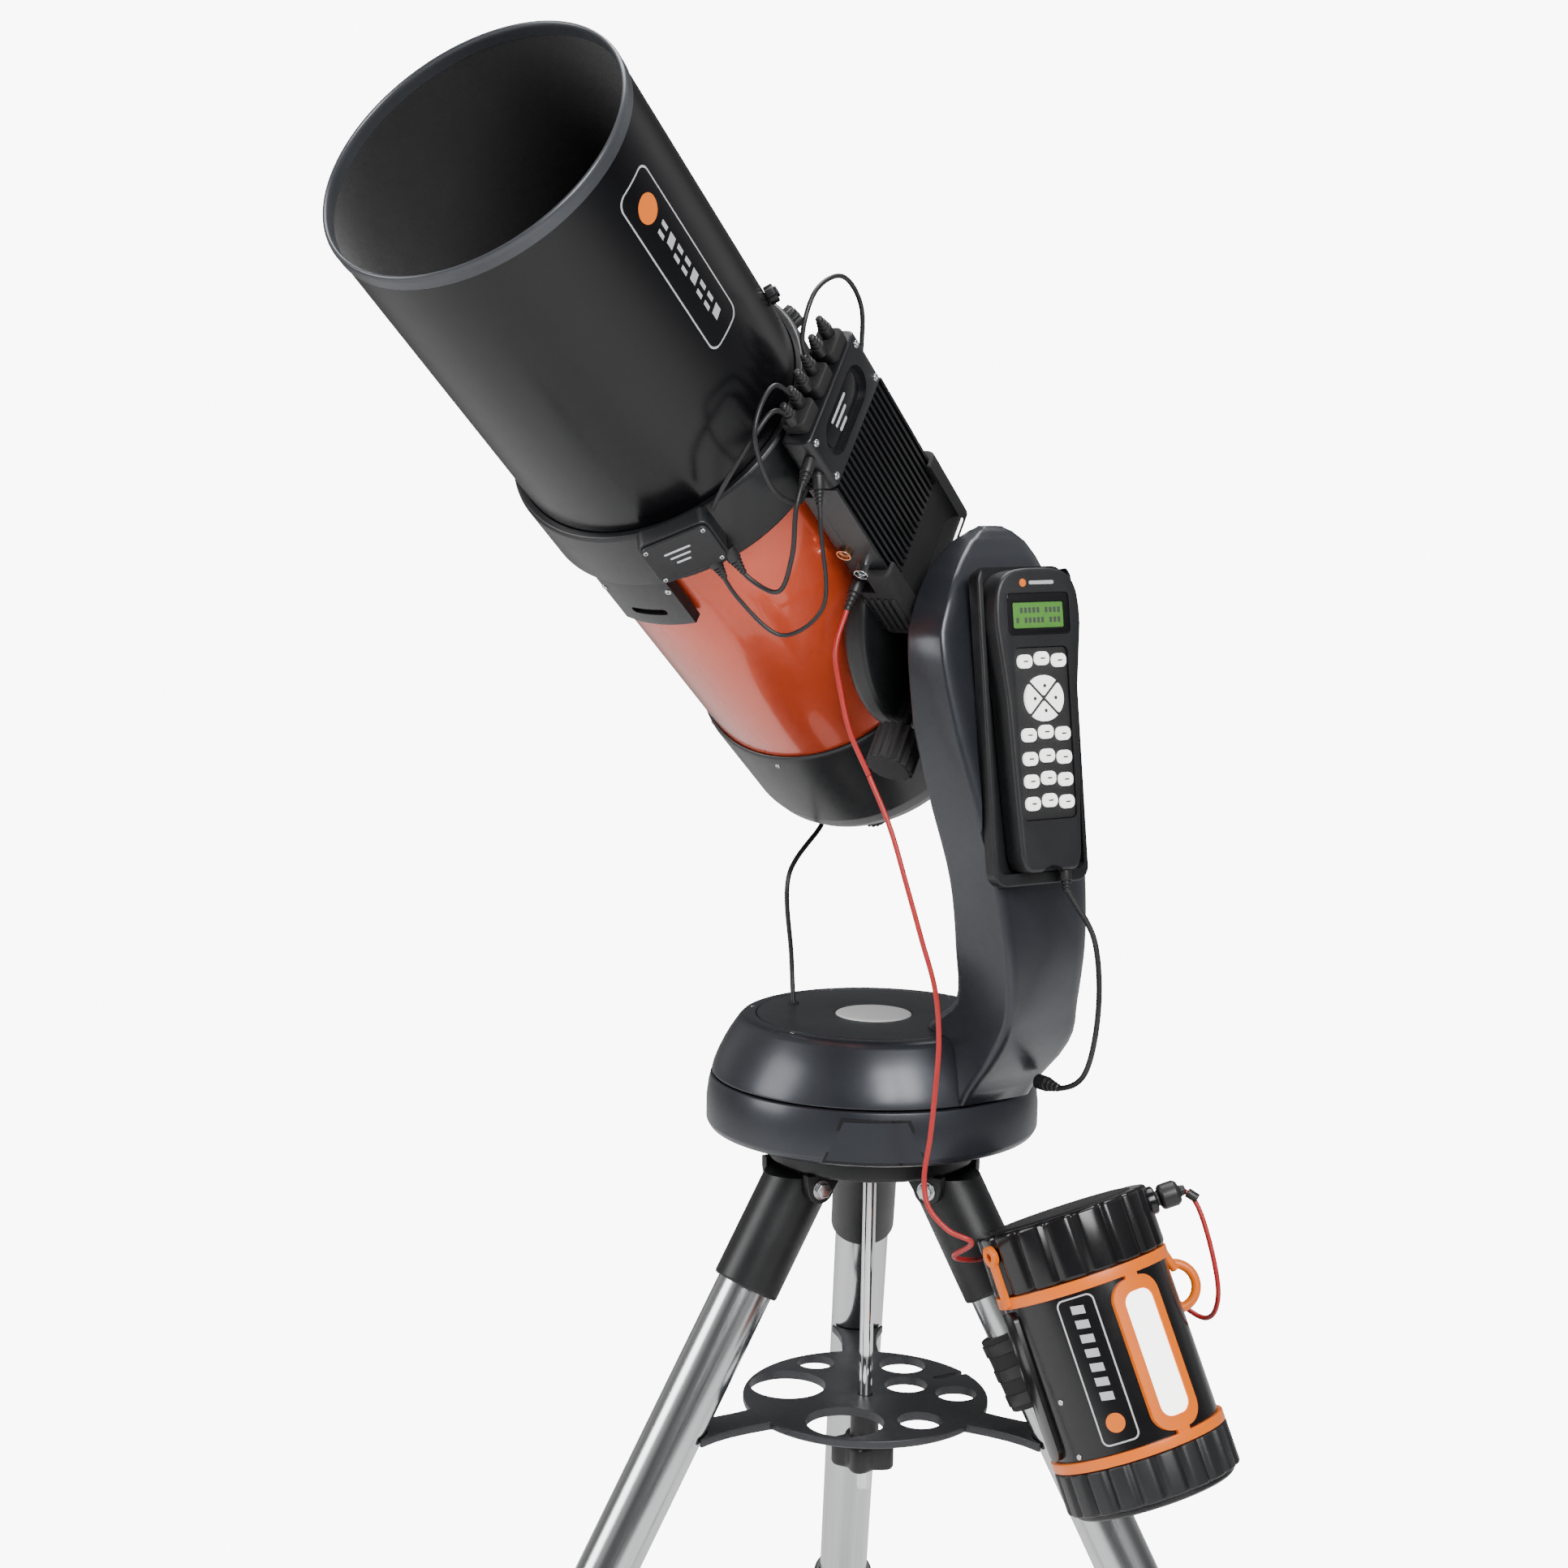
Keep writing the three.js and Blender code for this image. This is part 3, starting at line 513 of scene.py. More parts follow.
def screw(name, matrix, r, body, material=STEEL, height=1.6, socket=True):
    """A domed socket-head screw standing on local Z."""
    head = lathe_bm([(0, 0), (r, 0), (r, height * 0.6), (r * 0.82, height), (0, height)], 32, False, 0.25)
    if socket:
        head = carve(head, prism_bm(ngon(r * 0.48, 6), height * 0.3, height * 2, 0))
    return piece(name, head, matrix, material, body)


def plug_bm(length, r, ribs=4, tail=2.4):
    """A moulded strain relief: a barrel that narrows through ribs to the cord."""
    prof = [(0, 0), (r, 0), (r, length * 0.45)]
    z = length * 0.45
    step = length * 0.5 / ribs
    for k in range(ribs):
        f = 1 - k / ribs
        rr = tail + (r - tail) * f * 0.72
        prof += [(rr * 0.82, z + step * 0.1), (rr * 0.82, z + step * 0.35), (rr, z + step * 0.45),
                (rr, z + step)]
        z += step
    prof += [(tail * 0.9, length), (0, length)]
    return lathe_bm(prof, 36, False, 0.3)


# ---------------------------------------------------------------- cords, made first
def pt(w, n, s):
    return TUBE @ Vector((w, n, s))


def cp(x, y, z):
    return CONTROL @ Vector((x, y, z))


def tk(x, y, z):
    return TANK @ Vector((x, y, z))


ROUTES = {
    "power_cord_upper": [pt(125, -37.8, 168), (61, -172, S + 420), (59, -184, S + 390), (64, -183, S + 358),
                         (72, -181, S + 326), (86, -173, S + 290.5)],
    "power_cord_lower": [(86.4, -173, S + 289.6), (107, -174, S + 250), (124, -174, S + 203),
                         (137, -172, S + 162),
                         (149, -169, S + 121), (152, -166, S + 79), (152, -170, S + 40), (150, -173, S + 1),
                         (147, -176, S - 34), (153, -179, S - 55), (170, -175, S - 73), (186, -167, S - 81),
                         tk(-100, 50, 4), tk(-84, -16, 16), tk(-50, -67, 26), tk(10, -86, 50),
                         tk(64, -64, 92),
                         tk(92, -30, 126), tk(104, -4, 110), tk(112, 2, 60), tk(111, 1, 26), tk(104, 0, 16),
                         tk(82, 0, 16)],
    "data_cord": [pt(-37, -90, -137.9), pt(-37.6, -91.5, -156), (-92, 1, S + 168), (-88, 2, S + 93),
                  (-81, -5, S + 51)],
    "control_cord": [cp(16, -118.4, 22), cp(17, -132, 22), (232, -44, S + 150), (236, -42, S + 90),
                     (222, -36, S + 34), (198, -26, S + 18), (171, -15, S + 18)],
    "heater_cord": [pt(88, -103, 296.5), pt(98, -112, 272), pt(122, -118, 262), pt(142, -104, 288),
                    pt(150, -76, 318), pt(149, -37.8, 322)],
    "sensor_lead": [pt(76, -110, 296.5), pt(88, -124, 258), pt(116, -134, 226), pt(146, -112, 232),
                    pt(152, -70, 282), pt(148, -37.8, 304)],
}


def make_cord(name, route, radius, material, body=None, replaced=None, blend=None,
              per_span=18):
    path = catmull(route, per_span)
    ob = piece(name, sweep_bm(path, radius), Matrix(), material, sharp=60)
    if replaced:
        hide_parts(replaced)
    if blend:
        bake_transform(ob)
    else:
        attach(ob, body)


def end_frame(name, at_end):
    """A frame at a cord's start or end, local Z running into the cord."""
    path = catmull(ROUTES[name], 18)
    a, b = (path[-1], path[-3]) if at_end else (path[0], path[2])
    z = (b - a).normalized()
    return basis(a, z.orthogonal(), z)


make_cord("power_cord_upper_run", ROUTES["power_cord_upper"], 2.2, RED_CORD, replaced="power_cord_upper",
        blend=("telescope", "upper_mount", (61, -172, S + 420), (86, -173, S + 290)))
barrel = lathe_bm([(0, 0), (6.5, 0), (6.5, 6), (9.5, 7), (11, 9), (11, 21), (9, 24), (5, 25), (4, 30),
        (0, 30)], 48, False, 0.8)
tank_plug = piece("tank_cord_plug", merged(moved(barrel, sideways(77, 0, 16)),
        moved(ring_bm(2.3, 4.2, 0, 10, 32, 0.6), basis((108, 0.5, 19), (0, 1, 0), (0.62, 0.05, 0.78)))),
        TANK, BLACK_CORD, "leg_1")
make_cord("power_cord_lower_run", ROUTES["power_cord_lower"], 2.2, RED_CORD, replaced="power_cord_lower",
        blend=("upper_mount", "stand", (124, -174, S + 203), (170, -175, S - 73)))
make_cord("data_cord_run", ROUTES["data_cord"], 2.3, BLACK_CORD, replaced="data_cord",
        blend=("telescope", "upper_mount", pt(-37.6, -91.5, -156), (-81, -5, S + 56)))
make_cord("control_cord_run", ROUTES["control_cord"], 2.4, BLACK_CORD, replaced="control_cord",
        blend=("control", "upper_mount", cp(17, -132, 22), (236, -42, S + 90)))
make_cord("heater_cord_run", ROUTES["heater_cord"], 1.9, BLACK_CORD, "telescope", "heater_cord")
make_cord("sensor_lead_run", ROUTES["sensor_lead"], 1.7, BLACK_CORD, "telescope")
# strain reliefs: name, length, radius, ribs, end radius, cord, whether at its far end, body
for name, long, wide, ribs, tail, cord, at_end, body in (
        ("power_plug", 30, 5.5, 4, 2.4, "power_cord_upper", False, "telescope"),
        ("heater_plug", 26, 5, 4, 2.1, "heater_cord", True, "telescope"),
        ("heater_relief", 24, 5.5, 4, 2.1, "heater_cord", False, "telescope"),
        ("sensor_plug", 24, 5, 4, 2, "sensor_lead", True, "telescope"),
        ("sensor_relief", 22, 5.5, 4, 2, "sensor_lead", False, "telescope"),
        ("data_relief", 22, 5, 3, 2, "data_cord", False, "telescope"),
        ("control_relief", 18, 5, 3, 2.6, "control_cord", False, "control"),
        ("control_plug", 26, 6.5, 3, 2.6, "control_cord", True, "upper_mount")):
    piece(name, plug_bm(long, wide, ribs, tail), end_frame(cord, at_end), BLACK_CORD, body)


# ---------------------------------------------------------------- tripod
def build_head():
    profile = [(6.3, -95), (18, -95), (22, -78), (89, -78), (93, -75), (93, -61), (60, -61), (60, -52.3),
            (6.3, -52.3)]
    plate = lathe_bm(profile, 128, True, 1.5)
    piece("head_plate", plate, SEAM, CAST_BLACK, "stand", "tripod_head")
    cx = PIVOT_R + HINGE_L * sin(LEG_SPLAY)
    cz = -PIVOT_DROP - HINGE_L * cos(LEG_SPLAY)
    for i, azimuth in enumerate(LEG_AZIMUTHS, 1):
        turn = SEAM @ turned(azimuth)
        for side in (-1, 1):
            outline = [(cx - 20, -76), (cx - 20, cz + 8), (cx - 13, cz - 2)]
            outline += [(cx + 13 * cos(radians(a)), cz + 13 * sin(radians(a))) for a in range(195, 351, 10)]
            outline += [(cx + 14, cz + 4), (cx + 14, -76)]
            lug = prism_bm(outline, 0, 9, 1.2)
            place = turn @ Matrix(((1, 0, 0, 0), (0, 0, 1, side * 36 - 4.5), (0, 1, 0, 0), (0, 0, 0, 1)))
            piece(f"head_lug_{i}_{side + 2}", lug, place, CAST_BLACK, "stand")
            bolt_at = turn @ basis((cx, side * 40.6, cz), (1, 0, 0), (0, side, 0))
            washer = ring_bm(3.2, 8.6, 0, 1.3, 40, 0.3)
            piece(f"head_washer_{i}_{side + 2}", washer, bolt_at, STEEL, "stand")
            piece(f"head_bolt_{i}_{side + 2}", prism_bm(ngon(7, 6), 1.3, 6.2, 0.9), bolt_at, STEEL, "stand")
        pin = disc_bm(4, -41, 41, 32, 0.3)
        piece(f"head_pin_{i}", pin, turn @ basis((cx, 0, cz), (1, 0, 0), (0, 1, 0)), STEEL, "stand")


def build_legs():
    for i, azimuth in enumerate(LEG_AZIMUTHS, 1):
        f = leg_frame(azimuth)
        steel = steel_along(f"leg_steel_{i}", f.to_3x3().col[2])
        body = f"leg_{i}"
        sleeve = lathe_bm([(0, -4), (30, -4), (30, SOCKET_END - 2), (29, SOCKET_END),
                (LEG_R + 0.3, SOCKET_END), (LEG_R + 0.3, TUBE_START - 0.3), (0, TUBE_START - 0.3)], 96,
                False, 1.2)
        level = moved(prism_bm([(-200, -200), (200, -200), (200, 200), (-200, 200)], 0, 200, 0),
                f.inverted() @ shift(0, 0, S - 81.5))
        sleeve = carve(sleeve, moved(disc_bm(4.3, -60, 60, 32, 0),
                basis((0, 0, HINGE_L), (1, 0, 0), (0, 1, 0))), level)
        piece(f"leg_{i}_sleeve", sleeve, f, CAST_BLACK, body, f"leg_socket_{i}")
        piece(f"leg_{i}_upper", ring_bm(LEG_R - 1.5, LEG_R, TUBE_START, TUBE_END, 96, 0.3), f, steel, body,
                f"leg_tube_{i}")
        collar = lathe_bm([(LEG_R + 0.3, -28), (30, -28), (32, -24), (32, -10), (31, -8.5), (31, -6.5),
                (32, -5), (32, 24), (29, 28), (23.7, 28), (23.7, 0.3), (LEG_R + 0.3, 0.3)], 96, True, 0.8)
        piece(f"leg_{i}_collar", collar, f @ shift(0, 0, TUBE_END), CAST_BLACK, body, f"leg_clamp_{i}")
        boss = lathe_bm([(3.4, 31), (8, 31), (8, 39), (7, 40), (3.4, 40)], 40, True, 0.4)
        knob_at = f @ sideways(0, 0, KNOB_L)
        piece(f"leg_{i}_boss", boss, knob_at, CAST_BLACK, body)
        grip = prism_bm(lobed(15, 5, 3.6), 41, 55.6, 1.8, 4)
        stem = disc_bm(3, 24.5, 42, 24, 0.3)
        piece(f"lock_{i}_grip", merged(grip, stem), knob_at, PLASTIC, f"lock_{i}", f"leg_lock_knob_{i}")
        top, bottom = EXTENSION
        rod = lathe_bm([(0, top), (23.4, top), (23.4, bottom), (0, bottom)], 96, False, 0.5)
        piece(f"leg_{i}_lower", rod, f, steel, f"extension_{i}", f"leg_extension_{i}")
        sole = lathe_bm([(0, bottom + 0.3), (24.2, bottom + 0.3), (25.5, bottom + 2), (25.5, bottom + 8),
                (24.4, bottom + 9), (24.4, bottom + 11), (26, bottom + 12), (27, bottom + 16),
                (27, FOOT_LENGTH + 30), (0, FOOT_LENGTH + 30)], 96, False, 0.6)
        bmesh.ops.transform(sole, matrix=f, verts=sole.verts)
        bmesh.ops.bisect_plane(sole, geom=sole.verts[:] + sole.edges[:] + sole.faces[:],
                plane_co=(0, 0, 0.01), plane_no=(0, 0, -1), clear_outer=True)
        rim = [e for e in sole.edges if len(e.link_faces) == 1]
        bmesh.ops.contextual_create(sole, geom=rim)
        piece(f"leg_{i}_foot", sole, Matrix(), RUBBER, f"extension_{i}", f"foot_{i}")


def build_tray():
    rod = lathe_bm([(0, -392), (5, -392), (6, -390), (6, -57), (5, -56.5), (0, -56.5)], 64, False, 0.5)
    piece("rod", rod, SEAM, CHROME, "stand", "centre_rod")
    plate = lathe_bm([(6.6, -4), (110, -4), (112, -2), (112, 3), (111, 4), (6.6, 4)], 160, True, 0.8)
    holes = ((-71, -20, 35), (-79, 45, 18), (-7, 84, 22), (20, 41, 20), (69, 47, 19), (18, -69, 35),
            (72, -29, 20))
    cutters = [moved(disc_bm(r, -12, 12, 72, 0), shift(x, y, 0)) for x, y, r in holes]
    cutters.append(moved(prism_bm([(78, -4), (130, -4), (130, 4), (78, 4)], -12, 12, 0), turned(63)))
    place = shift(0, 0, TRAY_Z)
    piece("tray_plate", carve(plate, *cutters), place, TRAY_GREY, "tray", "spreader_tray")
    half = [(98, 20), (112, 17.5), (130, 16.5), (150, 17), (166, 19.5), (176, 22.5), (184, 25)]
    for i, azimuth in enumerate(LEG_AZIMUTHS, 1):
        turn = place @ turned(azimuth)
        arm = prism_bm([(r, -h) for r, h in half] + [(r, h) for r, h in reversed(half)], -3.9, 3.9, 0.9)
        cup = moved(disc_bm(LEG_R + 1.3, 200, 380, 96, 0), turn.inverted() @ leg_frame(azimuth))
        hub = moved(disc_bm(97.5, -20, 20, 96, 0), Matrix())
        piece(f"tray_arm_{i}", carve(arm, cup, hub), turn, TRAY_GREY, "tray")
    levels = [(3.2, -62), (1.6, -61.4), (0.5, -60), (0, -58), (0, -42), (0.6, -40), (2.0, -38.5), (4.0, -38)]
    wing = merged(lobed_body(lobed(30, 5, 8, 16), levels, 6.3), ring_bm(6.4, 13, -38.4, -5.5, 48, 0.8))
    piece("tension_grip", wing, place, PLASTIC, "tension", "tension_knob")


# ---------------------------------------------------------------- mount
ARM = [
    (2, ((74, -30), (128, -76), (160, 2), (84, 52))),
    (52, ((62, -22), (166, -98), (196, 10), (70, 62))),
    (90, ((114, -70), (188, -112), (204, 4), (100, 60))),
    (140, ((122, -90), (192, -122), (214, -8), (120, 60))),
    (200, ((122, -104), (184, -129), (216, -16), (118, 66))),
    (260, ((112, -120), (172, -141), (214, -28), (106, 76))),
    (330, ((100, -134), (154, -150), (202, -28), (100, 82))),
    (400, ((100, -146), (140, -152), (188, -24), (100, 82))),
    (430, ((100, -134), (138, -140), (182, -25), (100, 73))),
    (450, ((101, -119), (136, -125), (174, -26), (101, 58))),
    (466, ((104, -101), (133, -107), (164, -27), (104, 40))),
    (479, ((108, -81), (130, -87), (153, -29), (108, 19))),
    (487, ((113, -62), (127, -67), (142, -33), (113, -2))),
    (491, ((117, -52), (125, -55), (134, -38), (117, -18))),
]


def soft_ring(corners, z, steps=9):
    pts = []
    for i, c in enumerate(corners):
        before, after = corners[i - 1], corners[(i + 1) % 4]
        share = (0.14, 0.1, 0.2, 0.2)[i]
        a = Vector(c) + (Vector(before) - Vector(c)) * share
        b = Vector(c) + (Vector(after) - Vector(c)) * share
        for k in range(steps + 1):
            t = k / steps
            q = a * (1 - t) ** 2 + Vector(c) * 2 * t * (1 - t) + b * t * t
            pts.append((q.x, q.y, z))
    return pts


def build_arm():
    rings = []
    spans = 4
    for i, (z, corners) in enumerate(ARM):
        rings.append(soft_ring(corners, z))
        if i + 1 == len(ARM):
            break
        z2, nxt = ARM[i + 1]
        before, after = ARM[max(i - 1, 0)][1], ARM[min(i + 2, len(ARM) - 1)][1]
        for k in range(1, spans):
            t = k / spans
            mid = []
            for c in range(4):
                p0, p1, p2, p3 = (Vector(q[c]) for q in (before, corners, nxt, after))
                second, third = 2 * p0 - 5 * p1 + 4 * p2 - p3, 3 * p1 - p0 - 3 * p2 + p3
                q = 0.5 * ((2 * p1) + (p2 - p0) * t + second * t * t + third * t ** 3)
                if c in (0, 3):
                    q.x = max(q.x, min(p1.x, p2.x))
                mid.append((q.x, q.y))
            rings.append(soft_ring(mid, z + (z2 - z) * t))
    bm = bmesh.new()
    loops = [[bm.verts.new(p) for p in ring] for ring in rings]
    for a, b in zip(loops, loops[1:]):
        bridge(bm, a, b)
    bm.faces.new(list(reversed(loops[0])))
    bm.faces.new(loops[-1])
    clear = lathe_bm([(0, -60), (152, -60), (150, -20), (146, 0), (143.3, 8.3), (134.3, 28.3),
            (124.3, 44.3), (118.3, 51.3), (114, 53.2), (0, 53.2)], 160, False, 0)
    seat = moved(slab((96, 262, 10), -1, 60, 0), shift(0, 0, -S) @ CONTROL)
    shaft = moved(disc_bm(27, 80, 119.5, 96, 0), basis((0, 0, 378), (0, 0, -1), (1, 0, 0)))
    bm = carve(bm, clear, seat, shaft)
    piece("arm_shell", bm, SEAM, ARM_PAINT, "upper_mount", "fork_arm", sharp=58)


def build_base():
    band = lathe_bm([(0, -50), (138, -50), (146, -47), (149, -42), (149, -22), (147.5, -10), (145.6, -1.6),
            (144, -0.8), (132, -0.8), (132, -40), (30, -40), (30, 20), (0, 20)], 192, False, 1.6)
    piece("base_band", band, SEAM, ARM_PAINT, "stand", "base_lower")
    dome = lathe_bm([(144, 0.8), (144.5, 2), (143, 8), (139.4, 17), (134, 28), (129.2, 36.5), (124, 44),
            (121.2, 48), (BASE_TOP_R, 51.2), (114, 52.8), (105.6, 52.8), (105.6, 47), (98, 47), (98, 40),
            (118, 38), (132, 20), (138, 0.8)], 192, True, 1.2)
    piece("base_dome", dome, SEAM, ARM_PAINT, "upper_mount", "base_upper", sharp=40)
    cover = lathe_bm([(0, 47.3), (105.0, 47.3), (105.0, 52.4), (104.4, 52.8), (36, 52.8), (35, 52.0),
            (0, 52.0)], 192, False, 0.5)
    cover = carve(cover, moved(disc_bm(5, 40, 60, 40, 0), shift(-81, -5, 0)))
    piece("base_cover", cover, SEAM, ARM_PAINT, "upper_mount", "battery_cover")
    piece("base_badge", lathe_bm([(0, 52.1), (34, 52.1), (34, 52.9), (33, 53.5), (0, 53.6)], 96, False,
            0.3), SEAM, BADGE, "upper_mount")
    piece("cover_grommet", moved(ring_bm(2.1, 5, 50.5, 54.2, 40, 0.6), shift(-81, -5, 0)), SEAM, RUBBER,
            "upper_mount")
    for k, angle in enumerate((20, 80, 140, 200, 260, 320)):
        a = radians(angle)
        place = SEAM @ shift(111 * cos(a), 111 * sin(a), 52.0)
        if 111 * cos(a) < 60:
            screw(f"base_screw_{k}", place, 2.2, "upper_mount", STEEL, 1.2)
    # the trapezoid cover on the band, facing the front
    a0 = radians(-59.6)
    for label, r0, grow, material, deep in (("panel", 148.4, 0.0, ARM_PAINT, 2.0),
            ("panel_gap", 148.2, 2.4, BEZEL, 1.3)):
        bm = bmesh.new()
        columns = 24
        lows, highs = [], []
        for layer in (0, deep):
            row_low, row_high = [], []
            for k in range(columns + 1):
                u = -1 + 2 * k / columns
                for row, half, z in ((row_low, 42 + grow * 1.3, -43 - grow),
                        (row_high, 27 + grow, -9 + grow)):
                    a = a0 + u * half / 148.0
                    rr = (r0 if z < -20 else r0 - 1.3) + layer
                    row.append(bm.verts.new((rr * cos(a), rr * sin(a), z)))
            lows.append(row_low)
            highs.append(row_high)
        for k in range(columns):
            bm.faces.new((lows[1][k], lows[1][k + 1], highs[1][k + 1], highs[1][k]))
            bm.faces.new((lows[0][k + 1], lows[0][k], highs[0][k], highs[0][k + 1]))
            bm.faces.new((lows[0][k], lows[0][k + 1], lows[1][k + 1], lows[1][k]))
            bm.faces.new((highs[1][k], highs[1][k + 1], highs[0][k + 1], highs[0][k]))
        for k in (0, columns):
            bm.faces.new((lows[0][k], lows[1][k], highs[1][k], highs[0][k]))
        piece(f"base_{label}", bm, SEAM, material, "stand")


def build_hub():
    body = lathe_bm([(0, 86), (50, 86), (54, 87.5), (57, 91), (57, 99.6), (26, 99.6), (26, 122), (31, 122),
            (31, 132), (0, 132)], 128, False, 0.8)
    piece("hub_disc", body, HUB, ARM_PAINT, "telescope", "altitude_hub")
    for k in range(6):
        a = radians(60 * k + 15)
        place = HUB @ shift(46 * cos(a), 46 * sin(a), 86) @ Matrix.Rotation(pi, 4, "X")
        screw(f"hub_screw_{k}", place, 3, "telescope", STEEL, 1.4)
    flange = moved(lathe_bm([(0, 102), (93, 102), (97, 106), (98, 110), (98, 120), (96.5, 123.5), (93, 125),
            (60, 125.6), (0, 125.6)], 160, False, 1.0), sideways(0, 0, 62))
    flange = carve(flange, disc_bm(TUBE_R + 0.3, -80, 240, 192, 0))
    piece("saddle_flange", flange, TUBE, CAST_BLACK, "telescope")
    grip = merged(prism_bm(lobed(21, 16, 2.6, 8), -139, -104, 2.4, 4), disc_bm(5, -106, -44.3, 32, 0.3),
            disc_bm(17.5, -140, -138, 64, 0.8))
    place = TUBE @ shift(132, 0, 38) @ basis((0, 0, 0), (1, 0, 0), (0, 1, 0))
    piece("clamp_grip", grip, place, RUBBER, "clamp", "clamp_knob")


# ---------------------------------------------------------------- optical tube
def on_tube(name, bm, material, replaces=(), sharp=33.0, body="telescope"):
    return piece(name, bm, TUBE, material, body, replaces, sharp=sharp)


def build_tube():
    shell = ring_bm(TUBE_R - 1.6, TUBE_R, -15.7, 297, 192, 0.3)
    on_tube("tube_shell", shell, ORANGE, "tube")
    cell = lathe_bm([(24.3, -137), (96, -137), (103, -134.4), (109, -129.5), (113.6, -123), (117.6, -114),
            (120, -101), (120, -4), (119.2, 2), (118, 4), (TUBE_R + 0.3, 4), (TUBE_R + 0.3, -16),
            (112, -16), (112, -101), (104, -121), (96, -127), (24.3, -127)], 192, True, 0.9)
    cell = carve(cell, moved(disc_bm(4.3, -157, -107, 32, 0), shift(0, -64, 0)))
    on_tube("rear_shell", cell, CELL_BLACK, "rear_cell", 25)
    for k in range(8):
        angle = -92.5 + 45 * k
        if abs(((angle + 180) % 360) - 180) < 20:
            continue
        screw(f"rear_screw_{k}", tube_at(angle, 119.9, -8), 2.4, "telescope", STEEL, 1.0)
    for k in range(3):
        a = radians(120 * k + 30)
        place = TUBE @ shift(82 * cos(a), 82 * sin(a), -137) @ Matrix.Rotation(pi, 4, "X")
        screw(f"back_screw_{k}", place, 4, "telescope", STEEL, 2.0)
    rib = ring_bm(60, 62.5, -138.2, -136.4, 128, 0.5)
    on_tube("back_ring", rib, CELL_BLACK)
    front = lathe_bm([(TUBE_R + 0.3, 279), (118.3, 279), (118.3, 314), (116, 316), (101, 316), (101, 310),
            (104.3, 310), (104.3, 302), (100, 302), (100, 297.3), (TUBE_R + 0.3, 297.3)], 160, True, 0.4)
    on_tube("front_shell", front, CELL_BLACK, "front_cell")
    glass = ring_bm(30.3, 104, 302.3, 309.7, 128, 0.2)
    on_tube("corrector", glass, GLASS, "corrector_plate")
    hold = lathe_bm([(0, 288), (34, 288), (34, 302), (30, 302), (30, 310), (39, 310), (39, 318), (36, 322),
            (30, 324), (0, 324)], 128, False, 0.6)
    on_tube("secondary_cell", hold, PLASTIC, "secondary_holder")
    on_tube("secondary_mirror", lathe_bm([(0, 287.6), (27, 287.2), (28, 286), (0, 286.6)], 96, False, 0.1),
            MIRROR)
    for k in range(3):
        a = radians(120 * k + 90)
        screw(f"collimation_{k}", TUBE @ shift(17 * cos(a), 17 * sin(a), 324), 3.2, "telescope", STEEL, 1.5)
    dish = lathe_bm([(19.6, -104), (101, -104), (101.5, -88), (90, -91), (80, -93), (65, -95.6),
            (50, -97.5), (35, -98.6), (19.6, -99)], 160, True, 0.2)
    on_tube("mirror_dish", dish, MIRROR, "primary_mirror", body="mirror")
    baffle = lathe_bm([(16.5, -137), (24, -137), (24, -121), (19, -121), (19, 60), (27, 108), (25.6, 108),
            (17.4, 60), (16.5, -121)], 96, True, 0.3)
    on_tube("baffle", baffle, FELT, "baffle_tube")
    back = lathe_bm([(16, -177), (25, -177), (27, -175), (27, -153), (31, -151), (31, -139), (27, -137.3),
            (16, -137.3)], 96, True, 0.8)
    on_tube("visual_back_body", back, CELL_BLACK, "visual_back")
    knurl = carve(prism_bm(lobed(32.2, 48, 1.0, 4), -150.6, -139.4, 0.5), disc_bm(30.6, -157, -127, 64, 0))
    on_tube("visual_back_ring", knurl, CELL_BLACK)
    for k in range(2):
        place = TUBE @ basis((27 * cos(k * 2.2 + 0.7), 27 * sin(k * 2.2 + 0.7), -167), (0, 0, 1),
                (cos(k * 2.2 + 0.7), sin(k * 2.2 + 0.7), 0))
        on_tube(f"thumb_screw_{k}", moved(merged(prism_bm(lobed(5.5, 14, 0.7, 5), 3, 13, 0.6),
                disc_bm(2, -2, 4, 20, 0)), TUBE.inverted() @ place), STEEL)
    focus = merged(prism_bm(lobed(17, 22, 1.2, 8), -181, -145, 1.6, 4), disc_bm(14.5, -183, -180, 64, 0.8),
            disc_bm(15.5, -146, -140, 64, 0.8), disc_bm(4, -141, -111, 32, 0.2))
    on_tube("focus_grip", moved(focus, shift(0, -64, 0)), RUBBER, "focus_knob", body="focus")


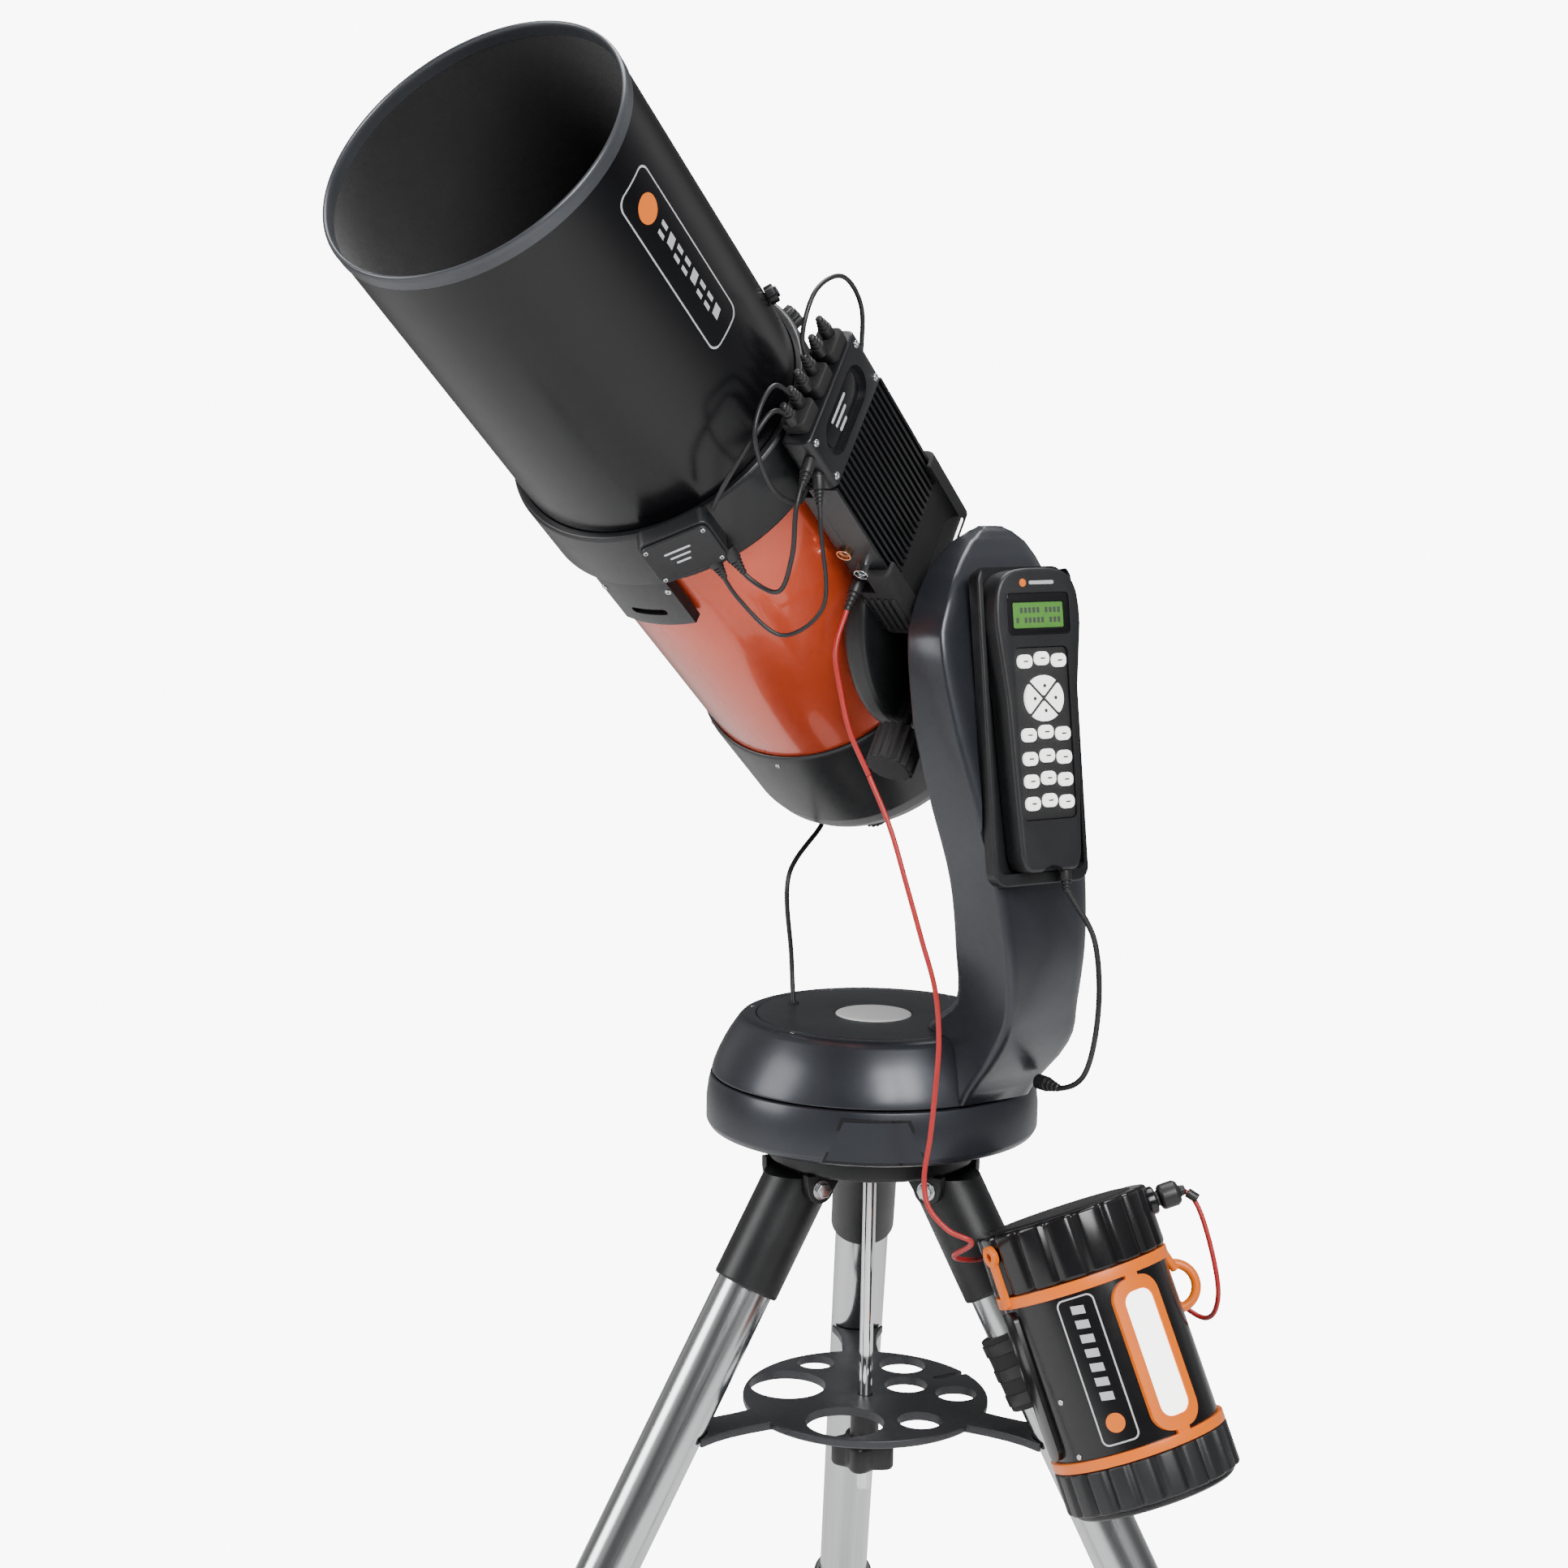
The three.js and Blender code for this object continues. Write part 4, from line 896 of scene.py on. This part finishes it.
def build_shield():
    outer = lathe_bm([(119, 300), (SHIELD_R, 300), (SHIELD_R, 617), (118.9, 617), (118.9, 340)], 224, True,
            0.3)
    on_tube("shield_wall", outer, SHIELD_BLACK, "dew_shield")
    liner = lathe_bm([(118.2, 341), (118.8, 341), (118.8, 617), (118.2, 617)], 192, True, 0.1)
    on_tube("shield_liner", liner, FELT)
    rim = [(118.0, 616.6)]
    for k in range(17):
        a = radians(200 - 220 * k / 16)
        rim.append((119.7 + 2.3 * cos(a) * (1 if cos(a) > 0 else 0.9), 623.6 + 4.3 * sin(a)))
    rim += [(121.9, 616.6)]
    on_tube("shield_rim", lathe_bm(rim, 224, True, 0), RIM_GREY, sharp=50)
    knob = merged(prism_bm(lobed(8, 10, 1.0, 6), 0.4, 8, 1.0), disc_bm(4.5, 7.6, 10.0, 40, 0.8))
    piece("shield_knob", knob, tube_at(39, SHIELD_R, 378), PLASTIC, "telescope")

    # a printed panel: an outline, a plain round emblem and plain bars
    def wrapped(x, y, lift):
        a = radians(-4) + x / SHIELD_R
        r = SHIELD_R + lift
        return (r * cos(a), r * sin(a), 514 + y)

    def patch(name, points, material):
        bm = bmesh.new()
        over = [bm.verts.new(wrapped(x, y, 0.10)) for x, y in points]
        under = [bm.verts.new(wrapped(x, y, -0.02)) for x, y in points]
        bm.faces.new(over)
        bm.faces.new(list(reversed(under)))
        bridge(bm, over, under)
        bmesh.ops.triangulate(bm, faces=bm.faces)
        on_tube(name, bm, material)

    border = round_rect(42, 156, 9, 8)
    strip = []
    for (x0, y0), (x1, y1) in zip(border, border[1:] + border[:1]):
        pieces = max(1, int(hypot(x1 - x0, y1 - y0) / 6))
        for m in range(pieces):
            strip.append((x0 + (x1 - x0) * m / pieces, y0 + (y1 - y0) * m / pieces))
    bm = bmesh.new()
    # the outline's four edges: outside over and under, inside under and over
    rows = []
    for inset, lift in ((0.0, 0.10), (0.0, -0.02), (1.3, -0.02), (1.3, 0.10)):
        kx, ky = 1 - inset / 21, 1 - inset / 78
        rows.append([bm.verts.new(wrapped(x * kx, y * ky, lift)) for x, y in strip])
    for a, b in zip(rows, rows[1:] + rows[:1]):
        bridge(bm, a, b)
    on_tube("label_outline", bm, PRINT)
    circle = [(x, 52 + y) for x, y in ngon(11, 40)]
    patch("label_emblem", circle, EMBLEM)
    for k in range(8):
        y0 = -62 + 12.4 * k
        x, w = (1.0, 11.0) if k % 3 else (2.0, 9.0)
        bar = [(x - w / 2, y0), (x + w / 2, y0 + 1.6), (x + w / 2, y0 + 9.6), (x - w / 2, y0 + 8)]
        patch(f"label_block_{k}", bar, PRINT)


def build_heater():
    ring = lathe_bm([(119, 276), (126, 276), (128.5, 279), (128.5, 335), (126.5, 338),
            (SHIELD_R + 0.3, 338), (SHIELD_R + 0.3, 299.7), (119, 299.7)], 192, True, 0.7)
    on_tube("heater_band", ring, CELL_BLACK, "heater_ring")
    tongue = carve(ring_bm(119.2, 127.8, 222, 284, 160, 1.0), moved(slab((68, 60, 1), 222, 300, 0),
            turned(-2) @ shift(0, -120, 0)), mode="INTERSECT")
    slot = moved(slab((34, 7.5, 3.7), 100, 140, 0), turned(-2) @ basis((0, 0, 240), (1, 0, 0), (0, -1, 0)))
    on_tube("heater_tongue", carve(tongue, slot), CELL_BLACK)
    for k, angle in enumerate((-106, -78)):
        screw(f"tongue_screw_{k}", tube_at(angle, 127.7, 266), 2.8, "telescope", STEEL, 1.2)
    knob = merged(prism_bm(lobed(10, 12, 1.2, 6), 1.5, 12, 1.2), disc_bm(3, -1, 2, 24, 0))
    piece("band_knob", knob, tube_at(60, 128.5, 307), PLASTIC, "telescope")
    a = radians(61)
    place = TUBE @ basis((0, 0, 320), (sin(a), cos(a), 0), (cos(a), -sin(a), 0))
    curve = moved(disc_bm(129.2, -90, 90, 160, 0), basis((0, 0, 0), (1, 0, 0), (0, 1, 0)))
    body = carve(slab((60, 46, 8), 118, 142, 1.6, 4), curve)
    piece("heater_box", body, place, PLASTIC, "telescope", "junction_box")
    lid = slab((57, 43, 7), 142.3, 146, 1.4, 4)
    piece("heater_box_lid", lid, place, PLASTIC, "telescope")
    for k, (x, y) in enumerate(((-24, -17), (24, -17), (-24, 17), (24, 17))):
        screw(f"box_screw_{k}", place @ shift(x, y, 145.6), 2.0, "telescope", STEEL, 0.9)
    for k in range(3):
        bar = slab((22 - 5 * k, 2.0, 0.9), 145.8, 146.25, 0.1, 1)
        piece(f"box_print_{k}", bar, place @ shift(-2, 8 - 6 * k, 0), PRINT, "telescope")


def build_controller():
    w0, w1, n0, n1 = *BOX_W, *BOX_N
    count = 18
    pitch = (n1 - n0) / (count - 0.45)
    outline = [(w0, n0)]
    for k in range(count):
        y = n0 + k * pitch
        outline += [(w1, y), (w1, y + pitch * 0.42)]
        if k + 1 < count:
            outline += [(w1 - 11, y + pitch * 0.48), (w1 - 11, y + pitch * 0.94)]
    outline.append((w0, n1))
    fins = prism_bm(outline, 158, 284, 0.5, 2)
    foot = carve(prism_bm([(104, -16), (131, -16), (131, 16), (104, 16)], 180, 262, 0.6),
            disc_bm(TUBE_R + 0.3, 100, 340, 160, 0))
    tub = slab((11.8, n1 - n0, 1.5), 158, 274, 0.8, at=(124.9, BOX_MID, 0))
    on_tube("controller_fins", merged(fins, foot, tub), CELL_BLACK, "controller_body")
    nose = slab((26, 112, 7), 284.3, 340, 2.2, 4, at=(143, BOX_MID, 0))
    recess = moved(slab((34, 78, 16.5, 10), -5, 6, 0), sideways(156, BOX_MID, 312))
    on_tube("controller_head", carve(nose, recess), CELL_BLACK, "controller_nose")
    badge = moved(slab((24, 66, 11.5, 10), -4.9, -3.6, 0.5, 2), sideways(156, BOX_MID, 312))
    on_tube("controller_badge", badge, GLOSS_PLASTIC)
    for k in range(3):
        bar = moved(slab((2.6, 30 - 8 * k, 1.2), -3.7, -3.2, 0.1, 1),
                sideways(156, BOX_MID - 3 - 2 * k, 318 - 7 * k))
        on_tube(f"controller_mark_{k}", bar, PRINT)
    for k, (n, s) in enumerate(((-29, 292), (67, 292), (-29, 332), (67, 332))):
        screw(f"nose_screw_{k}", TUBE @ sideways(155.8, n, s), 3.2, "telescope", STEEL, 1.4)
    # on the lower side: a ring and a locking connector on the body, round sockets on the head
    def port(name, w, s, r, material, depth=5.0):
        bm = lathe_bm([(r * 0.45, 0), (r, 0), (r, depth), (r * 0.8, depth), (r * 0.78, 1.2),
                (r * 0.45, 1.2)], 40, True, 0.3)
        place = basis((w, -36.6, s), (1, 0, 0), (0, -1, 0))
        on_tube(name, moved(bm, place), material)
    port("port_ring", 126, 202, 6.4, COPPER, 4.0)
    port("port_lock", 134, 181, 6.2, CHROME, 7.5)
    port("port_round_a", 148, 304, 4.2, BLACK_CORD)
    port("port_round_b", 149, 322, 4.2, BLACK_CORD)
    port("port_round_c", 137, 296, 4.2, BLACK_CORD)
    gland = merged(*[slab((22, 27, 5), 339.6, 352, 1.8, 4, at=(142, n, 0)) for n in (-14, 20, 54)])
    on_tube("head_gland", gland, RUBBER)
    for k, n in enumerate((-24, -8, 8, 24, 42, 60)):
        end = moved(plug_bm(20, 5.5, 3, 2.2), basis((143, n, 351.6), (1, 0, 0), (0, 0, 1)))
        on_tube(f"head_plug_{k}", end, BLACK_CORD)
    # the rubber holder around the rear end, built as a thick tray with rounded rims
    outer = slab((39.5, 129, 8), 98, 180, 3.0, 4, at=(138.75, 19.5, 0))
    hollow = slab((38, 112.6, 3), 157.7, 220, 0, at=(136.6, BOX_MID, 0))
    well = slab((40, 96, 10), 112, 220, 0, at=(168, BOX_MID, 0))
    notch = slab((20, 24, 2), 157.7, 220, 0, at=(128, -49, 0))
    on_tube("holder", carve(outer, hollow, well, notch), RUBBER, "controller_bumper")
    for k in range(5):
        rib = slab((3.4, 4, 1.6), 106, 172, 0.8, at=(124 + 6.6 * k, 84.4, 0))
        on_tube(f"holder_rib_{k}", rib, RUBBER)
    for k in range(5):
        rib = slab((3.4, 4, 1.6), 106, 150, 0.8, at=(124 + 6.6 * k, -45.4, 0))
        on_tube(f"holder_low_rib_{k}", rib, RUBBER)
    strip = moved(slab((3, 100, 1.4), 0, 0.8, 0.2), sideways(158.2, BOX_MID, 106))
    on_tube("holder_light", strip, LENS)
    loops = {
        "loop_a": [(143, 24, 358), (146, 30, 384), (150, 64, 396), (150, 100, 372), (146, 106, 330),
                   (143, 76, 300)],
        "loop_b": [(143, -8, 358), (140, -18, 386), (138, -58, 384), (138, -76, 340), (140, -64, 304),
                   (137, -41, 296)],
        "loop_c": [(143, -24, 358), (141, -34, 376), (130, -64, 374), (112, -92, 360), (96, -100, 342)],
    }
    for name, route in loops.items():
        make_cord(name, [TUBE @ Vector(p) for p in route], 1.9, BLACK_CORD, "telescope",
                per_span=16)


# ---------------------------------------------------------------- hand control
def build_control():
    cradle = carve(slab((92, 258, 12), -0.7, 14, 2.0, 4), slab((83, 262, 6), 3, 30, 0, at=(0, 12.4, 0)))
    piece("cradle", cradle, CONTROL, CAST_BLACK, "upper_mount", "control_cradle")
    half = [(24, -118), (28.5, -108), (31, -60), (34, 20), (38, 54), (41, 80), (41, 94), (39, 108),
            (34, 118), (25, 124), (12, 126)]
    outline = half + [(-x, y) for x, y in reversed(half)]
    outline = soften(outline, 8, True, 5)
    case = prism_bm(outline, 4, 30, 3.2, 5)
    case = carve(case, slab((60, 34, 4), 28.6, 40, 0, at=(0, 89, 0)),
            slab((52, 139, 5), 25.8, 40, 0, at=(0, -7, 0)),
            moved(disc_bm(13, 20, 44, 48, 0), shift(0, -126, 0)))
    piece("control_shell", case, CONTROL, PLASTIC, "control", "control_case")
    piece("control_bezel", carve(slab((59, 33, 3.6), 28.0, 29.6, 0.4, at=(0, 89, 0)),
            slab((49, 21, 1.6), 26, 40, 0, at=(0, 88, 0))), CONTROL, BEZEL, "control")
    piece("control_screen", slab((48.6, 20.6, 1.4), 27.2, 29.0, 0.2, at=(0, 88, 0)), CONTROL, DISPLAY,
            "control", "control_display")
    for row in range(2):
        for col in range(11):
            if (row * 7 + col * 5) % 6 == 0:
                continue
            cell = moved(prism_bm([(-1.3, -2.2), (1.3, -2.2), (1.3, 2.2), (-1.3, 2.2)], 28.98, 29.06, 0),
                    shift(-20 + col * 4.0, 92 - row * 8, 0))
            piece(f"screen_cell_{row}_{col}", cell, CONTROL, LEGEND, "control")
    piece("control_emblem", moved(disc_bm(3.2, 29.9, 30.25, 40, 0.1), shift(-14, 114, 0)), CONTROL, EMBLEM,
            "control")
    piece("control_mark", slab((24, 3, 1.4), 29.9, 30.25, 0.1, 1, at=(4, 114, 0)), CONTROL, PRINT, "control")
    mat = slab((51, 138, 4.6), 27.1, 28.4, 0.3)
    piece("key_mat", moved(mat, shift(0, -7, 0)), CONTROL, RUBBER, "keys", "keypad")
    keys = [(x, 53 - abs(x) * 0.12) for x in (-16.5, 0, 16.5)]
    keys += [(x, y - abs(x) * 0.12) for y in (-6, -25, -43, -61) for x in (-16.5, 0, 16.5)]
    for k, (x, y) in enumerate(keys):
        # the key caps and the direction pad carry the painted glow of the key material
        cap = slab((13.8, 11, 4.6), 27.8, 32.0, 1.5, 4)
        piece(f"key_{k}", moved(cap, shift(x, y, 0)), CONTROL, KEY_PAINTED_GLOW, "keys")
        bar = slab((4.6, 1.2, 0.5), 31.95, 32.08, 0, 1)
        piece(f"key_print_{k}", moved(bar, shift(x, y, 0)), CONTROL, LEGEND, "keys")
    # the round direction pad, in four sectors
    for k in range(4):
        pts = [(1.3, 0)]
        for m in range(15):
            a = radians(-42 + 84 * m / 14)
            pts.append((17.5 * cos(a), 17.5 * sin(a)))
        pad = prism_bm(pts, 27.8, 32.2, 1.2, 4)
        place = shift(0, 21, 0) @ turned(90 * k) @ shift(1.0, 0, 0)
        piece(f"pad_{k}", moved(pad, place), CONTROL, KEY_PAINTED_GLOW, "keys")
        dot = moved(disc_bm(1.5, 32.1, 32.3, 24, 0), place @ shift(9, 0, 0))
        piece(f"pad_dot_{k}", dot, CONTROL, LEGEND, "keys")


# ---------------------------------------------------------------- power tank
def build_tank():
    def part(name, bm, material, replaces=(), sharp=33.0, slot="usual"):
        return piece(name, bm, TANK, material, "leg_1", replaces, sharp=sharp)

    def facing(angle, z, radius=0.0):
        a = radians(angle)
        return basis((radius * cos(a), radius * sin(a), z), (-sin(a), cos(a), 0), (cos(a), sin(a), 0))

    def skin(shape, angle, z, low, high, *holes):
        """The part of a thin ring round the tank that a shape covers, less its holes."""
        place = facing(angle, z)
        shell = carve(ring_bm(low, high, 2, TANK_L - 2, 192, 0), moved(shape, place), mode="INTERSECT")
        return carve(shell, *[moved(hole, place) for hole in holes]) if holes else shell

    z0, z1 = TANK_BODY
    body = lathe_bm([(0, 3), (66, 3), (TANK_R, 6), (TANK_R, TANK_L - 6), (66, TANK_L - 3), (0, TANK_L - 3)],
            192, False, 0.8)
    part("tank_shell", body, GLOSS_PLASTIC, "tank_body")
    top = prism_bm(lobed(TANK_CAP_R, 18, 2.6, 16, 7), 0, z0, 4.0, 5)
    part("tank_top_cap", top, GLOSS_PLASTIC, sharp=38)
    part("tank_top_disc", lathe_bm([(0, -1.2), (60, -1.2), (64, 0.6), (64, 2), (0, 2)], 128, False, 0.8),
            PLASTIC)
    low = prism_bm(lobed(TANK_CAP_R, 22, 3.4, 16, 5), z1, TANK_L - 6, 2.2, 4)
    part("tank_bottom_cap", low, PLASTIC, sharp=38)
    part("tank_bottom_disc", lathe_bm([(0, TANK_L - 7), (69, TANK_L - 7), (69, TANK_L - 2), (66, TANK_L),
            (0, TANK_L)], 128, False, 1.0), PLASTIC)
    bands = merged(ring_bm(TANK_R - 0.6, 75.2, z0 + 0.4, z0 + 10, 192, 0.8),
            ring_bm(TANK_R - 0.6, 75.2, z1 - 9, z1 - 0.4, 192, 0.8))
    part("tank_bands", bands, LAMP_ORANGE)
    frame_bm = skin(slab((45, 126, 17, 10), 50, 90, 0), 65, 127.5, TANK_R - 0.8, 75.4,
            slab((27.6, 104, 10, 10), 40, 100, 0))
    part("lamp_rim", frame_bm, LAMP_ORANGE, "tank_lamp_frame", sharp=50)
    for k, z in enumerate((61, 194)):
        bar = skin(slab((12, 14, 1), 50, 90, 0), 65, z, TANK_R - 0.6, 75.0)
        part(f"lamp_bar_{k}", bar, LAMP_ORANGE, sharp=50)
    window = skin(slab((27, 103.4, 9.6, 10), 50, 90, 0), 65, 127.5, TANK_R - 3, 74.4)
    part("lamp_window", window, LENS, "tank_lamp_lens", sharp=50)
    outline = skin(slab((32, 122, 6), 50, 90, 0), 106, 126, TANK_R - 0.5, TANK_R + 0.25,
            slab((29.4, 119.4, 5), 40, 100, 0))
    part("tank_label_outline", outline, PRINT, sharp=50)
    part("tank_label_emblem", skin(moved(prism_bm(ngon(8, 24), 50, 90, 0), shift(0, 44, 0)), 106, 126,
            TANK_R - 0.5, TANK_R + 0.25), EMBLEM, sharp=50)
    for k in range(7):
        y = 26 - 12 * k
        block = prism_bm([(-6, y), (5, y - 1.6), (5, y - 8.4), (-6, y - 6.8)], 50, 90, 0)
        part(f"tank_label_block_{k}", skin(block, 106, 126, TANK_R - 0.5, TANK_R + 0.25), PRINT, sharp=50)
    eye = moved(lathe_bm([(3.5, 74.5), (9, 74.5), (9, 79.5), (3.5, 79.5)], 48, True, 0.8), facing(156, 16))
    hook = merged(skin(slab((8, 40, 2), 50, 90, 0), 156, 40, 75.0, 79.0), eye)
    part("tank_hook", hook, LAMP_ORANGE, sharp=50)
    loop = [Vector((72 + 19 * cos(2 * pi * k / 48), -8, 90 + 19 * sin(2 * pi * k / 48))) for k in range(49)]
    part("tank_ring", sweep_bm(loop, 4.2, 16), LAMP_ORANGE, sharp=60)
    part("tank_ring_strap", sweep_bm([Vector((71, 4, 58)), Vector((74, 0, 68)), Vector((77, -4, 76))], 4.0,
            12), LAMP_ORANGE, sharp=60)
    plate = skin(slab((26, 126, 9), 50, 90, 0), 166, 128, TANK_R - 0.5, 75.6)
    part("tank_side_plate", plate, GLOSS_PLASTIC, sharp=50)
    for k, z in enumerate((144, 190)):
        screw(f"tank_rivet_{k}", TANK @ facing(140, z, TANK_R - 0.1), 2.6, "leg_1", STEEL, 1.2, False)
    seat = moved(lathe_bm([(0, 70), (12, 70), (12, 79), (10.5, 80.5), (8, 80.5), (8, 76), (0, 76)], 64,
            False, 0.6), sideways(0, 0, 16))
    part("tank_socket", seat, GLOSS_PLASTIC)
    leg_in_tank = TANK.inverted() @ TANK_LEG
    clasp = carve(ring_bm(LEG_R + 0.3, 32.5, 180, 246, 96, 1.6), disc_bm(LEG_R + 0.3, 100, 300, 96, 0))
    piece("tank_clip", clasp, TANK_LEG, RUBBER, "leg_1", "tank_bracket")
    yoke = moved(slab((42, 54, 5), -16, 16, 1.4, 3), turned(238.8) @ basis((80, 0, 119), (1, 0, 0),
            (0, 1, 0)))
    bore = moved(disc_bm(LEG_R + 1, 120, 330, 96, 0), leg_in_tank)
    part("tank_link", carve(yoke, bore, disc_bm(TANK_R + 0.2, 10, 240, 192, 0)), RUBBER,
            slot="black_plastic")
    for k, z in enumerate((190, 213, 236)):
        piece(f"clip_strap_{k}", ring_bm(32.4, 33.6, z - 5, z + 5, 96, 0.5), TANK_LEG, BLACK_CORD, "leg_1")


for build in (build_head, build_legs, build_tray, build_arm, build_base, build_hub, build_tube,
        build_shield, build_heater, build_controller, build_control, build_tank):
    build()


# ---------------------------------------------------------------- CAD nodes that keep their shape
KEPT = {"azimuth_gear": BRASS, "turntable": CAST_BLACK, "dovetail_saddle": CAST_BLACK,
        "dovetail_bar": CELL_BLACK}
for name, material in KEPT.items():
    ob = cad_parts[name]
    for slot in ob.material_slots:
        slot.material = material


# ---------------------------------------------------------------- floor and light
def build_stage():
    mesh = bpy.data.meshes.new("floor")
    mesh.from_pydata([(-30, -30, 0), (30, -30, 0), (30, 30, 0), (-30, 30, 0)], [], [(0, 1, 2, 3)])
    floor = bpy.data.objects.new("floor", mesh)
    bpy.context.collection.objects.link(floor)
    pale = surface("floor_pale", (0.86, 0.86, 0.86), 0.0, 0.7, vary=0.01, bump=0.02)
    tree = pale.node_tree
    bright = node(tree, "ShaderNodeEmission", 0, -500)
    bright.inputs["Strength"].default_value = 11.1
    share = node(tree, "ShaderNodeMath", 200, 500, operation="MULTIPLY")
    share.inputs[1].default_value = 0.8
    mix = node(tree, "ShaderNodeMixShader", 500, 0)
    link(tree, (node(tree, "ShaderNodeLightPath", 0, 500).outputs["Is Camera Ray"], share.inputs[0]),
            (share.outputs["Value"], mix.inputs["Fac"]), (tree.nodes["Principled BSDF"].outputs["BSDF"],
            mix.inputs[1]), (bright.outputs["Emission"], mix.inputs[2]),
            (mix.outputs["Shader"], tree.nodes["Material Output"].inputs["Surface"]))
    mesh.materials.append(pale)
    world = bpy.data.worlds.new("studio")
    bpy.context.scene.world = world
    world.use_nodes = True
    tree = world.node_tree
    # the walls of the studio: pale screens with darker gaps between them
    across = node(tree, "ShaderNodeVectorMath", -800, 0, operation="DOT_PRODUCT")
    across.inputs[1].default_value = (0.8564, 0.5163, 0.0)
    span = node(tree, "ShaderNodeMapRange", -600, 0)
    span.inputs["From Min"].default_value = -1.0
    screens = ((0.0, 0.10), (0.16, 0.75), (0.30, 0.14), (0.52, 0.20), (0.70, 0.10), (0.84, 0.85),
               (1.0, 0.12))
    walls = ramp(tree, span.outputs["Result"], 0, *[(position, (grey,) * 3) for position, grey in screens])
    studio = tree.nodes["Background"]
    studio.inputs["Strength"].default_value = 0.65
    backdrop = node(tree, "ShaderNodeBackground", 0, -200)
    backdrop.inputs["Color"].default_value = (1.0, 1.0, 1.0, 1)
    backdrop.inputs["Strength"].default_value = 9.0
    mix = node(tree, "ShaderNodeMixShader", 300, 0)
    link(tree, (node(tree, "ShaderNodeTexCoord", -1000, 0).outputs["Generated"], across.inputs[0]),
            (across.outputs["Value"], span.inputs["Value"]), (walls, studio.inputs["Color"]),
            (node(tree, "ShaderNodeLightPath", 0, 200).outputs["Is Camera Ray"], mix.inputs["Fac"]),
            (studio.outputs["Background"], mix.inputs[1]), (backdrop.outputs["Background"], mix.inputs[2]),
            (mix.outputs["Shader"], tree.nodes["World Output"].inputs["Surface"]))

    def softbox(name, place, target, width, height, power):
        data = bpy.data.lights.new(name, "AREA")
        data.shape = "RECTANGLE"
        data.size, data.size_y = width, height
        data.energy = power
        light = bpy.data.objects.new(name, data)
        direction = Vector(target) - Vector(place)
        aim = direction.to_track_quat("-Z", "Y").to_matrix().to_4x4()
        light.matrix_world = Matrix.Translation(place) @ aim
        bpy.context.collection.objects.link(light)

    softbox("key", (2.6, -2.2, 3.2), (0, 0, 1.0), 2.0, 2.0, 190)
    softbox("fill", (-2.6, -2.6, 2.2), (0, 0, 1.0), 1.8, 2.4, 100)
    softbox("top", (-0.4, 0.6, 3.9), (0, 0, 0.9), 2.2, 2.2, 110)


build_stage()
